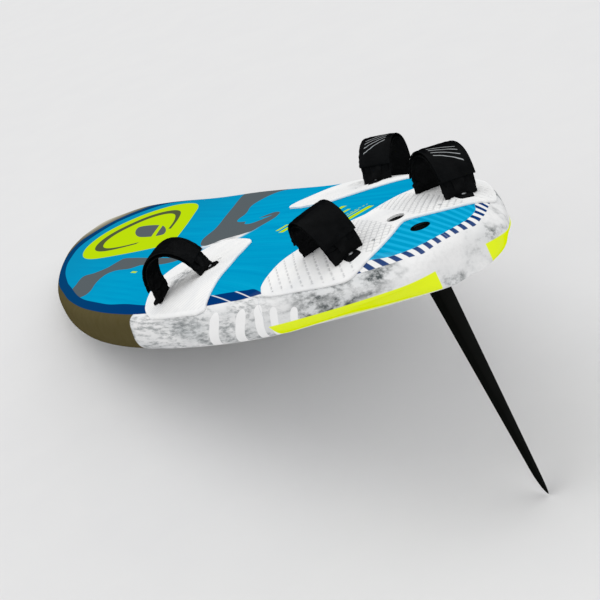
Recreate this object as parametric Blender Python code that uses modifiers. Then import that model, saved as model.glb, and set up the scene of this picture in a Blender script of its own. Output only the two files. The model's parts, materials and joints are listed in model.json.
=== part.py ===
"""Windsurf board with a bolted fin, EVA pads and four footstraps.

Frame: the origin is on the flat transom, on the centreline, level with the flat of the bottom.
+X runs to the nose, +Y to port and +Z up out of the deck. All sizes are in metres.
"""
import math

import bmesh
import bpy
from mathutils import Matrix, Vector
from mathutils.bvhtree import BVHTree

# ---------------------------------------------------------------- driving dimensions

GAP = 0.0003                 # clearance between neighbouring pieces
SIDES = (("port", 1.0), ("starboard", -1.0))

# Hull
BOARD_LENGTH = 2.445
HALF_WIDTH = 0.366
WIDE_POINT = 1.358           # widest section, from the tail
TRANSOM_HALF = 0.062         # half-width of the flat end of the tail
CORNER_LENGTH = 0.030        # the tail's round corner ends here
CORNER_HALF = 0.1133
NOSE_FULLNESS = (0.615, 0.557)
TAIL_FULLNESS = (0.223, 0.760)
ROCKER_START = 0.38          # share of the length that is flat
NOSE_LIFT = 0.170
ROCKER_POWER = 2.69
THICKNESS = ((0.0, 0.074), (0.10, 0.1204), (0.25, 0.1348), (0.50, 0.1444), (0.70, 0.1401),
             (0.85, 0.1100), (0.95, 0.0905), (1.0, 0.0618))
CROWN = 0.274                # deck camber as a share of the thickness
NOSE_CROWN = 0.883
TUCK_LIFT = 0.0285           # lower edge lifted beside the fin
TUCK_LENGTH = 0.449
RAIL_HALF_BAND = 0.004       # upright strip of rail at the parting line
PARTING = 5                  # that point's place in a cross-section
SKIN = 0.003
CORE_INSET = 0.0036
CORE_SIDE_INSET = 0.0046
TAIL_STATIONS = 11
NOSE_STATIONS = 11

# Fin, its box and its bolts
FIN_X = 0.141
FIN_DEPTH = 0.4157
FIN_CHORD = 0.105
FIN_RAKE = 0.015
FIN_TAPER = 0.738            # chord lost from root to tip, as a share of the root chord
FIN_THICKNESS = 0.094        # share of the chord
TANG = (0.084, 0.0064, 0.022)
HEAD_FOOT = (0.1176, 0.0168)
HEAD_TOP = (0.1096, 0.0142)
HEAD_HEIGHT = 0.065
BOX_LENGTH = 0.141
BOX_WIDTH = 0.040
BOLT_X = {"fore": 0.1853, "aft": 0.1007}
SEAT_Z = 0.074               # floor of the bolt recesses
RECESS_RADIUS = 0.0132
BOLT_RADIUS = 0.0029
BOLT_HEAD_RADIUS = 0.0050
BOLT_HEAD_HEIGHT = 0.0060
BOLT_LENGTH = 0.042
WASHER_RADIUS = 0.0088
WASHER_THICKNESS = 0.0016
NUT_RADIUS = 0.0052
NUT_Z = 0.040

# Vent
VENT_X = 0.60
VENT_RADIUS = 0.0125
VENT_DEPTH = 0.030

# Pads
PAD_THICKNESS = 0.004
REAR_PAD = ((0.316, 0.0), (0.335, 0.05), (0.352, 0.10), (0.352, 0.157), (0.349, 0.19), (0.343, 0.226),
            (0.322, 0.238), (0.290, 0.231), (0.209, 0.200), (0.140, 0.167), (0.110, 0.145),
            (0.101, 0.106), (0.113, 0.068), (0.128, 0.040), (0.149, 0.012), (0.156, 0.0))
FRONT_PAD = ((0.535, 0.284), (0.573, 0.237), (0.610, 0.193), (0.668, 0.148), (0.715, 0.108),
             (0.760, 0.086), (0.866, 0.078), (0.950, 0.083), (0.990, 0.110), (1.002, 0.160),
             (0.995, 0.215), (0.955, 0.275), (0.885, 0.322), (0.826, 0.336), (0.700, 0.322),
             (0.594, 0.303))

# Footstraps: middle of the two screws, and the angle that the line through them makes with +X
STRAP_PLACES = {"front": (0.760, 0.249, 0.767), "rear": (0.217, 0.118, 0.035)}
SCREW_HALF_SPAN = 0.0708
ARCH_HALF_SPAN = 0.056
ARCH_HEIGHT = {"front": 0.0840, "rear": 0.0755}
ARCH_POWER = 2.2
ARCH_STEP = math.radians(12)
LINER = (0.0, 0.0050, 0.072)         # inner offset, thickness, width
WEBBING = (0.0053, 0.0025, 0.045)
FLAP = (0.0081, 0.0040, 0.072)
WEBBING_END_WIDTH = 0.020
LINER_FOOT = 0.0135                  # height of the liner's lower edges
WEBBING_FOOT = 0.0078                # height of the webbing's ends, where the strap leans
FLAP_ANGLE = math.radians(36)
LUG = (0.0590, 0.0810, 0.022, 0.0048)
SCREW_RADIUS = 0.0026
SCREW_HEAD = (0.0054, 0.0030)
SCREW_DEPTH = 0.021
PLUG = (0.018, 0.066, 0.024)
PLUG_PITCH = 0.024
PLUG_HOLE_RADIUS = 0.0032

COLOURS = {
    "deck_paint": ((0.0, 0.42, 0.70, 1.0), 0.25, 0.0),
    "bottom_paint": ((0.82, 0.84, 0.84, 1.0), 0.30, 0.0),
    "foam": ((0.93, 0.93, 0.90, 1.0), 0.90, 0.0),
    "eva": ((0.86, 0.87, 0.87, 1.0), 0.75, 0.0),
    "box_plastic": ((0.05, 0.05, 0.05, 1.0), 0.50, 0.0),
    "fin_laminate": ((0.015, 0.016, 0.018, 1.0), 0.30, 0.0),
    "stainless": ((0.60, 0.60, 0.58, 1.0), 0.30, 1.0),
    "brass": ((0.70, 0.55, 0.28, 1.0), 0.35, 1.0),
    "neoprene": ((0.012, 0.012, 0.013, 1.0), 0.85, 0.0),
    "webbing": ((0.02, 0.02, 0.022, 1.0), 0.80, 0.0),
    "seal_rubber": ((0.03, 0.03, 0.03, 1.0), 0.70, 0.0),
}


# ---------------------------------------------------------------- scene helpers

def clear_scene():
    for obj in list(bpy.data.objects):
        bpy.data.objects.remove(obj, do_unlink=True)


def new_collection(name):
    collection = bpy.data.collections.new(name)
    bpy.context.scene.collection.children.link(collection)
    return collection


def material(name):
    found = bpy.data.materials.get(name)
    if found:
        return found
    colour, roughness, metallic = COLOURS[name]
    made = bpy.data.materials.new(name)
    made.use_nodes = True
    shader = made.node_tree.nodes["Principled BSDF"]
    shader.inputs["Base Color"].default_value = colour
    shader.inputs["Roughness"].default_value = roughness
    shader.inputs["Metallic"].default_value = metallic
    made.diffuse_color = colour
    return made


def add_object(name, bm, finish=None, matrix=None, smooth=False):
    """Turn a bmesh into an object: a part if it has a finish, otherwise a cutter."""
    mesh = bpy.data.meshes.new(name)
    bm.to_mesh(mesh)
    bm.free()
    obj = bpy.data.objects.new(name, mesh)
    if matrix is not None:
        obj.matrix_world = matrix
    if finish:
        mesh.materials.append(material(finish))
        PARTS.objects.link(obj)
    else:
        CUTTERS.objects.link(obj)
        obj.hide_render = True
        obj.display_type = "WIRE"
    if smooth:
        mesh.shade_smooth()
        mesh.set_sharp_from_angle(angle=math.radians(35))
    return obj


def cut(target, cutter, operation="DIFFERENCE"):
    modifier = target.modifiers.new(operation.title() + " " + cutter.name, "BOOLEAN")
    modifier.operation = operation
    modifier.solver = "EXACT"
    modifier.object = cutter


def box_bmesh(size, centre, bm=None):
    bm = bm or bmesh.new()
    matrix = Matrix.Translation(centre) @ Matrix.Diagonal((*size, 1.0))
    bmesh.ops.create_cube(bm, size=1.0, matrix=matrix)
    return bm


def cylinder_bmesh(radius, low, high, x=0.0, y=0.0, segments=24, bm=None, radius_high=None, turn=None):
    bm = bm or bmesh.new()
    top = radius if radius_high is None else radius_high
    matrix = Matrix.Translation((x, y, (low + high) / 2.0))
    if turn is not None:
        matrix = turn @ matrix
    bmesh.ops.create_cone(bm, cap_ends=True, segments=segments, radius1=radius, radius2=top,
                          depth=high - low, matrix=matrix)
    return bm


def turned(name, profile, finish, matrix, closed=False, steps=24):
    """Screw a profile of (radius, height) points, given down its outer side, round local Z."""
    bm = bmesh.new()
    verts = [bm.verts.new((radius, 0.0, height)) for radius, height in profile]
    pairs = list(zip(verts, verts[1:]))
    if closed:
        pairs.append((verts[-1], verts[0]))
    for first, second in pairs:
        bm.edges.new((first, second))
    obj = add_object(name, bm, finish, matrix)
    screw = obj.modifiers.new("Turn", "SCREW")
    screw.steps = steps
    screw.render_steps = steps
    screw.use_merge_vertices = True
    screw.merge_threshold = 0.00001
    screw.use_normal_calculate = False
    return obj


# ---------------------------------------------------------------- hull form

def bezier(points, t):
    a, b, c, d = points
    s = 1.0 - t
    weights = (s * s * s, 3 * s * s * t, 3 * s * t * t, t * t * t)
    return tuple(sum(w * p[i] for w, p in zip(weights, (a, b, c, d))) for i in (0, 1))


def outline_stations():
    """(distance from the tail, half-width) pairs round one side of the plan outline."""
    corner = ((0.0, TRANSOM_HALF), (0.0, 0.085), (0.012, 0.1016), (CORNER_LENGTH, CORNER_HALF))
    pull, spread = TAIL_FULLNESS
    tail = ((CORNER_LENGTH, CORNER_HALF),
            (CORNER_LENGTH + pull * (WIDE_POINT - CORNER_LENGTH),
             CORNER_HALF + spread * (HALF_WIDTH - CORNER_HALF)),
            (0.55 * WIDE_POINT, HALF_WIDTH),
            (WIDE_POINT, HALF_WIDTH))
    reach, blunt = NOSE_FULLNESS
    nose = ((WIDE_POINT, HALF_WIDTH),
            (WIDE_POINT + reach * (BOARD_LENGTH - WIDE_POINT), HALF_WIDTH),
            (BOARD_LENGTH, blunt * HALF_WIDTH),
            (BOARD_LENGTH, 0.0))
    nose_end = 0.97
    stations = [bezier(corner, t) for t in (0.0, 0.45, 0.8)]
    stations += [bezier(tail, i / TAIL_STATIONS) for i in range(TAIL_STATIONS)]
    stations += [bezier(nose, nose_end * i / NOSE_STATIONS) for i in range(NOSE_STATIONS + 1)]
    return stations


def thickness(x):
    """Smooth curve through the THICKNESS stations (cubic Hermite with mean slopes)."""
    share = min(max(x / BOARD_LENGTH, 0.0), 1.0)
    knots = THICKNESS
    last = len(knots) - 1
    i = max(j for j in range(last) if knots[j][0] <= share)

    def slope(j):
        low, high = max(j - 1, 0), min(j + 1, last)
        return (knots[high][1] - knots[low][1]) / (knots[high][0] - knots[low][0])

    (x0, y0), (x1, y1) = knots[i], knots[i + 1]
    span = x1 - x0
    t = (share - x0) / span
    return ((2 * t ** 3 - 3 * t ** 2 + 1) * y0 + (t ** 3 - 2 * t ** 2 + t) * span * slope(i)
            + (3 * t ** 2 - 2 * t ** 3) * y1 + (t ** 3 - t ** 2) * span * slope(i + 1))


def rocker(x):
    share = max(x / BOARD_LENGTH - ROCKER_START, 0.0) / (1.0 - ROCKER_START)
    return NOSE_LIFT * share ** ROCKER_POWER


def section(x, half, deck_shift=0.0, inset=0.0, side_inset=0.0):
    """Half of one cross-section, as (y, z) from the bottom centre up to the deck centre."""
    thick = thickness(x)
    base = rocker(x)
    nose_share = max(x / BOARD_LENGTH - 0.5, 0.0) / 0.5
    camber = CROWN * thick * (1.0 + (NOSE_CROWN - 1.0) * nose_share)
    tuck = TUCK_LIFT * max(1.0 - x / TUCK_LENGTH, 0.0)
    apex = max(0.33 * thick, tuck + 0.10 * thick)
    lower = [(0.0, 0.0), (0.50, 0.0), (0.88, 0.5 * tuck), (0.965, max(0.08 * thick, tuck)),
             (1.0, apex - RAIL_HALF_BAND)]
    upper = [(1.0, apex + RAIL_HALF_BAND), (0.985, 0.60 * thick), (0.93, thick - 1.15 * camber),
             (0.75, thick - 0.50 * camber), (0.40, thick - 0.12 * camber), (0.0, thick)]
    width = half - side_inset
    points = [(share * width, base + z + inset) for share, z in lower]
    if not inset:
        points.append((width, base + apex))
    points += [(share * width, base + z + deck_shift - inset) for share, z in upper]
    return points


def hull_bmesh(part="whole", deck_shift=0.0, inset=0.0, side_inset=0.0):
    """Loft of the cross-sections, the same triangles port and starboard.

    The two skins are open along the parting line.
    """
    bm = bmesh.new()
    rings = []
    for x, half in outline_stations():
        place = x if not inset else inset + x * (1.0 - 2.6 * inset / BOARD_LENGTH)
        points = section(place, half, deck_shift, inset, side_inset)
        if part == "deck":
            points = points[PARTING:]
            points[0] = (points[0][0], points[0][1] + GAP / 2.0)
            ring = points + [(-y, z) for y, z in points[-2::-1]]
        elif part == "bottom":
            points = points[:PARTING + 1]
            points[-1] = (points[-1][0], points[-1][1] - GAP / 2.0)
            ring = [(-y, z) for y, z in points[:0:-1]] + points
        else:
            ring = points + [(-y, z) for y, z in points[-2:0:-1]]
        rings.append([bm.verts.new((place, y, z)) for y, z in ring])
    closed = part == "whole"
    count = len(rings[0])
    for near, far in zip(rings, rings[1:]):
        for j in range(count if closed else count - 1):
            k = (j + 1) % count
            if near[j].co.y + near[k].co.y > 0.0:
                bm.faces.new((near[j], near[k], far[k]))
                bm.faces.new((near[j], far[k], far[j]))
            else:
                bm.faces.new((near[j], near[k], far[j]))
                bm.faces.new((near[k], far[k], far[j]))
    bm.faces.new(list(reversed(rings[0])))
    bm.faces.new(rings[-1])
    return bm


def outer_surface():
    bm = hull_bmesh()
    bm.normal_update()
    tree = BVHTree.FromBMesh(bm)
    bm.free()
    return tree


def deck_hit(x, y):
    """Point and normal of the outer deck above a place in the plan."""
    point, normal, _, _ = SURFACE.ray_cast(Vector((x, y, 1.0)), Vector((0.0, 0.0, -1.0)))
    return point, normal


def curve_prism(points, low, high, mirrored=False):
    """Upright prism of a smooth closed outline, as a welded bmesh."""
    outline = list(points)
    if mirrored:
        outline = outline + [(x, -y) for x, y in points[-2:0:-1]]
    data = bpy.data.curves.new("outline", "CURVE")
    data.dimensions = "2D"
    data.fill_mode = "BOTH"
    data.extrude = (high - low) / 2.0
    data.resolution_u = 2
    spline = data.splines.new("BEZIER")
    spline.bezier_points.add(len(outline) - 1)
    spline.use_cyclic_u = True
    for knot, (x, y) in zip(spline.bezier_points, outline):
        knot.co = (x, y, 0.0)
        knot.handle_left_type = "AUTO"
        knot.handle_right_type = "AUTO"
    obj = bpy.data.objects.new("outline", data)
    CUTTERS.objects.link(obj)
    obj.location.z = (low + high) / 2.0
    bpy.context.view_layer.update()
    evaluated = obj.evaluated_get(bpy.context.evaluated_depsgraph_get())
    mesh = bpy.data.meshes.new_from_object(evaluated)
    bm = bmesh.new()
    bm.from_mesh(mesh)
    bm.transform(obj.matrix_world)
    bmesh.ops.remove_doubles(bm, verts=bm.verts, dist=0.00005)
    bmesh.ops.recalc_face_normals(bm, faces=bm.faces)
    bpy.data.objects.remove(obj, do_unlink=True)
    bpy.data.meshes.remove(mesh)
    return bm


def upright(x, y, z):
    return Matrix.Translation((x, y, z))


# ---------------------------------------------------------------- strap frames

def strap_frame(place, side):
    """Local frame of a footstrap: X along the screws, Z off the pad, origin between the screws."""
    x, y, angle = STRAP_PLACES[place]
    ahead = Vector((math.cos(angle), side * math.sin(angle), 0.0))
    middle = Vector((x, side * y, 0.0))
    feet = []
    for way in (1.0, -1.0):
        spot = middle + way * SCREW_HALF_SPAN * ahead
        point, normal = deck_hit(spot.x, spot.y)
        feet.append((point + normal * (PAD_THICKNESS + GAP), normal))
    along = (feet[0][0] - feet[1][0]).normalized()
    normal = feet[0][1] + feet[1][1]
    up = (normal - along * normal.dot(along)).normalized()
    across = up.cross(along)
    frame = Matrix((along, across, up)).transposed().to_4x4()
    frame.translation = (feet[0][0] + feet[1][0]) / 2.0
    return frame


def arch_point(theta, offset, height):
    """Point of the arch in the strap's X-Z plane, moved outwards along its normal."""
    power = 2.0 / ARCH_POWER

    def on_curve(angle):
        c, s = math.cos(angle), math.sin(angle)
        x = ARCH_HALF_SPAN * math.copysign(abs(c) ** power, c)
        return Vector((x, 0.0, height * max(s, 0.0) ** power))

    step = 0.01
    tangent = (on_curve(theta + step) - on_curve(theta - step)).normalized()
    outward = Vector((tangent.z, 0.0, -tangent.x))
    return on_curve(theta) + outward * offset


def arch_start(foot, height):
    """Angle at which an arch of this height is still only `foot` above the pad."""
    return math.asin((foot / height) ** (ARCH_POWER / 2.0))


def ribbon(name, layer, start, finish, frame, height, end_width=None):
    """A strip bent along the arch: an open surface, thickened outwards.

    Every layer bends at the same angles, so that the layers keep their clearance.
    """
    offset, thick, width = layer
    bends = [ARCH_STEP * i for i in range(1, round(math.pi / ARCH_STEP))]
    thetas = [start] + [a for a in bends if start + 0.01 < a < math.pi - start - 0.01]
    thetas.append(math.pi - start)
    bm = bmesh.new()
    rows = []
    for theta in thetas:
        half = width / 2.0
        if end_width is not None:
            rise = min(1.0, min(theta - start, math.pi - start - theta) / (2.0 * ARCH_STEP))
            half = (end_width + (width - end_width) * rise) / 2.0
        centre = arch_point(theta, offset, height)
        rows.append([bm.verts.new((centre.x, way * half, centre.z)) for way in (-1.0, 1.0)])
    for near, far in zip(rows, rows[1:]):
        bm.faces.new((near[0], near[1], far[1], far[0]))
    obj = add_object(name, bm, finish, frame)
    solid = obj.modifiers.new("Thickness", "SOLIDIFY")
    solid.thickness = thick
    solid.offset = 1.0
    solid.use_even_offset = True
    return obj


# ---------------------------------------------------------------- hull pieces

def plug_places():
    """Every strap plug: name, strap frame, end of the strap (+1 forward, -1 aft), side."""
    for place in STRAP_PLACES:
        for side_name, side in SIDES:
            frame = STRAP_FRAMES[place, side_name]
            for end_name, end in (("fore", 1.0), ("aft", -1.0)):
                yield f"{place}_{side_name}_{end_name}", frame, end, side


def plug_box(bm, frame, end, side, grow, height):
    """Block of one plug, in world space; it runs from the screw inboard."""
    length = PLUG[1]
    centre_y = -side * (length / 2.0 - PLUG[0] / 2.0)
    size = (PLUG[0] + 2 * grow, length + 2 * grow, PLUG[2] + height + grow)
    middle = Vector((end * SCREW_HALF_SPAN, centre_y, (height - PLUG[2] - grow) / 2.0))
    place = Matrix.Translation(middle) @ Matrix.Diagonal((*size, 1.0))
    bmesh.ops.create_cube(bm, size=1.0, matrix=frame @ place)


def deck_pockets(name, through):
    """One cutter with every opening that the hull needs; `through` also cuts the bottom."""
    bm = bmesh.new()
    for _, frame, end, side in plug_places():
        plug_box(bm, frame, end, side, GAP, 0.03)
    top = deck_hit(VENT_X, 0.0)[0].z
    cylinder_bmesh(VENT_RADIUS + GAP, top - VENT_DEPTH - 0.002, top + 0.02, VENT_X, bm=bm)
    if through:
        box_bmesh((BOX_LENGTH + 2 * GAP, BOX_WIDTH + 2 * GAP, 0.5), (FIN_X, 0.0, 0.0), bm)
    else:
        for x in BOLT_X.values():
            cylinder_bmesh(RECESS_RADIUS, 0.05, 0.20, x, bm=bm)
    return add_object(name, bm)


def build_skins_and_core():
    for part, finish in (("deck", "deck_paint"), ("bottom", "bottom_paint")):
        skin = add_object(part + "_skin", hull_bmesh(part), finish, smooth=True)
        shell = skin.modifiers.new("Laminate", "SOLIDIFY")
        shell.thickness = SKIN
        shell.offset = -1.0
        shell.use_even_offset = True
        if part == "deck":
            cut(skin, deck_pockets("deck_openings", through=False))
        else:
            cut(skin, add_object("box_opening", box_bmesh(
                (BOX_LENGTH + 2 * GAP, BOX_WIDTH + 2 * GAP, 0.08), (FIN_X, 0.0, 0.0))))
    core = add_object("foam_core", hull_bmesh(inset=CORE_INSET, side_inset=CORE_SIDE_INSET), "foam")
    cut(core, deck_pockets("core_openings", through=True))


def build_pads():
    under = add_object("pad_underside", hull_bmesh(deck_shift=GAP))
    over = add_object("pad_surface", hull_bmesh(deck_shift=GAP + PAD_THICKNESS))
    openings = bmesh.new()
    for x in BOLT_X.values():
        cylinder_bmesh(RECESS_RADIUS, 0.05, 0.20, x, bm=openings)
    for _, frame, end, side in plug_places():
        local = Matrix.Translation((end * SCREW_HALF_SPAN, 0.0, 0.0))
        cylinder_bmesh(SCREW_HEAD[0], -0.02, 0.02, segments=16, bm=openings, turn=frame @ local)
        if end < 0:
            spare = Matrix.Translation((end * SCREW_HALF_SPAN, -side * 2 * PLUG_PITCH, 0.0))
            cylinder_bmesh(SCREW_HEAD[0], -0.02, 0.02, segments=16, bm=openings, turn=frame @ spare)
    holes = add_object("pad_openings", openings)
    low, high = 0.06, 0.25
    outlines = [("rear_pad", curve_prism(REAR_PAD, low, high, mirrored=True))]
    for side_name, side in SIDES:
        points = [(x, side * y) for x, y in FRONT_PAD]
        outlines.append(("front_pad_" + side_name, curve_prism(points, low, high)))
    for name, prism in outlines:
        pad = add_object(name, prism, "eva")
        cut(pad, over, "INTERSECT")
        cut(pad, under)
        cut(pad, holes)


def build_plugs_lugs_and_screws():
    flush = add_object("deck_minus_gap", hull_bmesh(deck_shift=-GAP))
    pad_top = add_object("pad_top_plus_gap", hull_bmesh(deck_shift=2 * GAP + PAD_THICKNESS))
    inner, outer, lug_width, lug_height = LUG
    for name, frame, end, side in plug_places():
        block = bmesh.new()
        plug_box(block, frame, end, side, 0.0, 0.02)
        plug = add_object("plug_" + name, block, "box_plastic")
        cut(plug, flush, "INTERSECT")
        holes = bmesh.new()
        for i in range(3):
            spot = Matrix.Translation((end * SCREW_HALF_SPAN, -side * i * PLUG_PITCH, 0.0))
            cylinder_bmesh(PLUG_HOLE_RADIUS, -0.8 * PLUG[2] - 0.004, 0.02, segments=12, bm=holes,
                           turn=frame @ spot)
        cut(plug, add_object("plug_holes_" + name, holes))

        low = -0.006
        centre = (end * (inner + outer) / 2.0, 0.0, (lug_height + low) / 2.0)
        lug = add_object("lug_" + name, box_bmesh((outer - inner, lug_width, lug_height - low), centre),
                         "box_plastic", frame)
        cut(lug, pad_top)
        hole = cylinder_bmesh(PLUG_HOLE_RADIUS, -0.02, 0.02, end * SCREW_HALF_SPAN, segments=16)
        cut(lug, add_object("lug_hole_" + name, hole, matrix=frame))

        head_radius, head_height = SCREW_HEAD
        base = lug_height + GAP
        profile = ((0.0, base + head_height), (0.6 * head_radius, base + head_height),
                   (head_radius, base + 0.4 * head_height), (head_radius, base), (SCREW_RADIUS, base),
                   (SCREW_RADIUS, -SCREW_DEPTH + 0.002), (0.0, -SCREW_DEPTH))
        matrix = frame @ Matrix.Translation((end * SCREW_HALF_SPAN, 0.0, 0.0))
        screw = turned("screw_" + name, profile, "stainless", matrix, steps=12)
        slot = box_bmesh((0.007, 0.0011, 0.002), (0.0, 0.0, base + head_height))
        cut(screw, add_object("slot_" + name, slot, matrix=matrix))


# ---------------------------------------------------------------- fin, bolts, vent

def head_size(z, grow):
    """Length and width of the fin's tapered head at a height above the bottom."""
    share = z / HEAD_HEIGHT
    return [foot + (top - foot) * share + 2 * grow for foot, top in zip(HEAD_FOOT, HEAD_TOP)]


def head_block(low, high, grow=0.0):
    """The fin's tapered head between two heights."""
    bm = bmesh.new()
    corners = ((-0.5, -0.5), (0.5, -0.5), (0.5, 0.5), (-0.5, 0.5))
    rings = []
    for z in (low, high):
        length, width = head_size(z, grow)
        rings.append([bm.verts.new((FIN_X + a * length, b * width, z)) for a, b in corners])
    for i in range(4):
        j = (i + 1) % 4
        bm.faces.new((rings[0][i], rings[0][j], rings[1][j], rings[1][i]))
    bm.faces.new(list(reversed(rings[0])))
    bm.faces.new(rings[1])
    return bm


def foil_ring(bm, chord, thick, aft, z, count=9):
    """Closed foil section with a blunt trailing edge at x = aft, leading edge forward."""
    upper = []
    for i in range(count):
        share = 0.5 * (1.0 - math.cos(math.pi * i / (count - 1)))
        half = 5.0 * thick * (0.2969 * math.sqrt(share) - 0.1260 * share - 0.3516 * share ** 2
                              + 0.2843 * share ** 3 - 0.1015 * share ** 4)
        upper.append((aft + chord * (1.0 - share), max(half, 0.0) + 0.0003 * share))
    points = upper + [(x, -y) for x, y in reversed(upper[1:])]
    return [bm.verts.new((x, y, z)) for x, y in points]


def build_fin():
    bm = bmesh.new()
    tang_length, tang_width, tang_height = TANG
    root_aft = FIN_X - FIN_CHORD / 2.0
    rings = []
    for z in (tang_height, -GAP):
        rings.append(foil_ring(bm, tang_length, tang_width, FIN_X - tang_length / 2.0, z))
    for share in (0.0, 0.15, 0.32, 0.5, 0.67, 0.81, 0.90, 0.955, 0.985, 1.0):
        round_from = 0.90
        past = max(share - round_from, 0.0) / (1.0 - round_from)
        rounding = max(math.sqrt(max(1.0 - past * past, 0.0)), 0.12)
        chord = FIN_CHORD * (1.0 - FIN_TAPER * share) * rounding
        thick = chord * (FIN_THICKNESS - 0.02 * share)
        aft = root_aft - FIN_RAKE * share + 0.006 * (1.0 - rounding)
        rings.append(foil_ring(bm, chord, thick, aft, -GAP - FIN_DEPTH * share))
    count = len(rings[0])
    for near, far in zip(rings, rings[1:]):
        for j in range(count):
            k = (j + 1) % count
            bm.faces.new((near[j], near[k], far[k], far[j]))
    bm.faces.new(list(reversed(rings[0])))
    bm.faces.new(rings[-1])
    bmesh.ops.recalc_face_normals(bm, faces=bm.faces)
    add_object("fin_blade", bm, "fin_laminate", smooth=True)

    head = add_object("fin_head", head_block(0.0, HEAD_HEIGHT), "box_plastic")
    hollow = box_bmesh((tang_length + 2 * GAP, tang_width + 2 * GAP, tang_height + 0.02 + GAP),
                       (FIN_X, 0.0, (tang_height - 0.02 + GAP) / 2.0))
    for x in BOLT_X.values():
        cylinder_bmesh(0.0036, NUT_Z - 0.014, HEAD_HEIGHT + 0.01, x, segments=16, bm=hollow)
    cut(head, add_object("head_hollows", hollow))
    sideways = Matrix.Rotation(math.pi / 2.0, 4, "X")
    nut_half = 0.0066
    cross_bores = bmesh.new()
    for end, x in BOLT_X.items():
        place = Matrix.Translation((x, 0.0, NUT_Z)) @ sideways
        cylinder_bmesh(NUT_RADIUS + GAP, -0.02, 0.02, bm=cross_bores, turn=place)
        nut = add_object("fin_nut_" + end, cylinder_bmesh(NUT_RADIUS, -nut_half, nut_half, turn=sideways),
                         "brass", upright(x, 0.0, NUT_Z), smooth=True)
        thread = cylinder_bmesh(BOLT_RADIUS + 0.0001, -0.01, 0.01, segments=20)
        cut(nut, add_object("nut_bore_" + end, thread, matrix=upright(x, 0.0, NUT_Z)))
    cut(head, add_object("head_cross_bores", cross_bores))


def build_fin_box():
    block = box_bmesh((BOX_LENGTH, BOX_WIDTH, 0.4), (FIN_X, 0.0, 0.1))
    box = add_object("fin_box", block, "box_plastic")
    cut(box, add_object("box_limits", hull_bmesh(deck_shift=-SKIN - 2 * GAP)), "INTERSECT")
    cut(box, add_object("head_pocket", head_block(-0.01, HEAD_HEIGHT + GAP, grow=GAP)))
    bores = bmesh.new()
    for x in BOLT_X.values():
        cylinder_bmesh(0.0036, 0.05, SEAT_Z + 0.004, x, segments=16, bm=bores)
    cut(box, add_object("bolt_bores", bores))
    recesses = bmesh.new()
    for x in BOLT_X.values():
        cylinder_bmesh(RECESS_RADIUS, SEAT_Z, 0.20, x, bm=recesses)
    cut(box, add_object("bolt_recesses", recesses))


def build_bolts():
    for end, x in BOLT_X.items():
        floor = SEAT_Z + GAP
        washer = ((BOLT_RADIUS + 0.0003, WASHER_THICKNESS), (WASHER_RADIUS, WASHER_THICKNESS),
                  (WASHER_RADIUS, 0.0), (BOLT_RADIUS + 0.0003, 0.0))
        turned("fin_washer_" + end, washer, "stainless", upright(x, 0.0, floor), closed=True)
        seat = WASHER_THICKNESS + GAP
        bolt = ((0.0, seat + BOLT_HEAD_HEIGHT), (BOLT_HEAD_RADIUS - 0.0005, seat + BOLT_HEAD_HEIGHT),
                (BOLT_HEAD_RADIUS, seat + BOLT_HEAD_HEIGHT - 0.0005), (BOLT_HEAD_RADIUS, seat),
                (BOLT_RADIUS, seat), (BOLT_RADIUS, seat - BOLT_LENGTH + 0.001),
                (BOLT_RADIUS - 0.0008, seat - BOLT_LENGTH), (0.0, seat - BOLT_LENGTH))
        obj = turned("fin_bolt_" + end, bolt, "stainless", upright(x, 0.0, floor), steps=20)
        socket = cylinder_bmesh(0.0029, seat + BOLT_HEAD_HEIGHT - 0.0032, seat + 0.02, segments=6)
        cut(obj, add_object("hex_socket_" + end, socket, matrix=upright(x, 0.0, floor)))


def build_vent():
    top = deck_hit(VENT_X, 0.0)[0].z - GAP
    place = upright(VENT_X, 0.0, top)
    insert = ((0.0098, 0.0), (VENT_RADIUS, 0.0), (VENT_RADIUS, -0.006), (0.0085, -0.006),
              (0.0085, -VENT_DEPTH), (0.0047, -VENT_DEPTH), (0.0047, -0.0048), (0.0098, -0.0048))
    turned("vent_insert", insert, "box_plastic", place, closed=True)
    ring_radius, tube = 0.0068, 0.0011
    seat = -0.0048 + GAP + tube
    ring = [(ring_radius + tube * math.sin(a), seat + tube * math.cos(a))
            for a in (2.0 * math.pi * i / 8 for i in range(8))]
    turned("vent_seal", ring, "seal_rubber", place, closed=True)
    base = seat + tube + GAP
    screw = ((0.0, base + 0.0022), (0.0084, base + 0.0022), (0.0090, base + 0.0016), (0.0090, base),
             (0.0043, base), (0.0043, -0.022), (0.0036, -0.024), (0.0, -0.024))
    obj = turned("vent_screw", screw, "box_plastic", place)
    cut(obj, add_object("vent_slot", box_bmesh((0.012, 0.0016, 0.003), (0.0, 0.0, base + 0.0028)),
                        matrix=place))


# ---------------------------------------------------------------- footstraps

def build_straps():
    for (place, side_name), frame in STRAP_FRAMES.items():
        name = f"strap_{place}_{side_name}"
        hinge = bpy.data.objects.new(name + "_lean_axis", None)
        PARTS.objects.link(hinge)
        hinge.matrix_world = frame @ Matrix.Translation((0.0, 0.0, WEBBING_FOOT))
        height = ARCH_HEIGHT[place]
        ribbon(name + "_liner", LINER, arch_start(LINER_FOOT, height), "neoprene", frame, height)
        ribbon(name + "_webbing", WEBBING, arch_start(WEBBING_FOOT, height), "webbing", frame, height,
               WEBBING_END_WIDTH)
        ribbon(name + "_flap", FLAP, FLAP_ANGLE, "neoprene", frame, height)


# ---------------------------------------------------------------- build

clear_scene()
PARTS = new_collection("windsurf_board")
CUTTERS = new_collection("cutters")
SURFACE = outer_surface()
STRAP_FRAMES = {(place, side_name): strap_frame(place, side)
                for place in STRAP_PLACES for side_name, side in SIDES}
build_skins_and_core()
build_pads()
build_plugs_lugs_and_screws()
build_fin_box()
build_fin()
build_bolts()
build_vent()
build_straps()
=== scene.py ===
import json
import math
from functools import reduce

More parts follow.
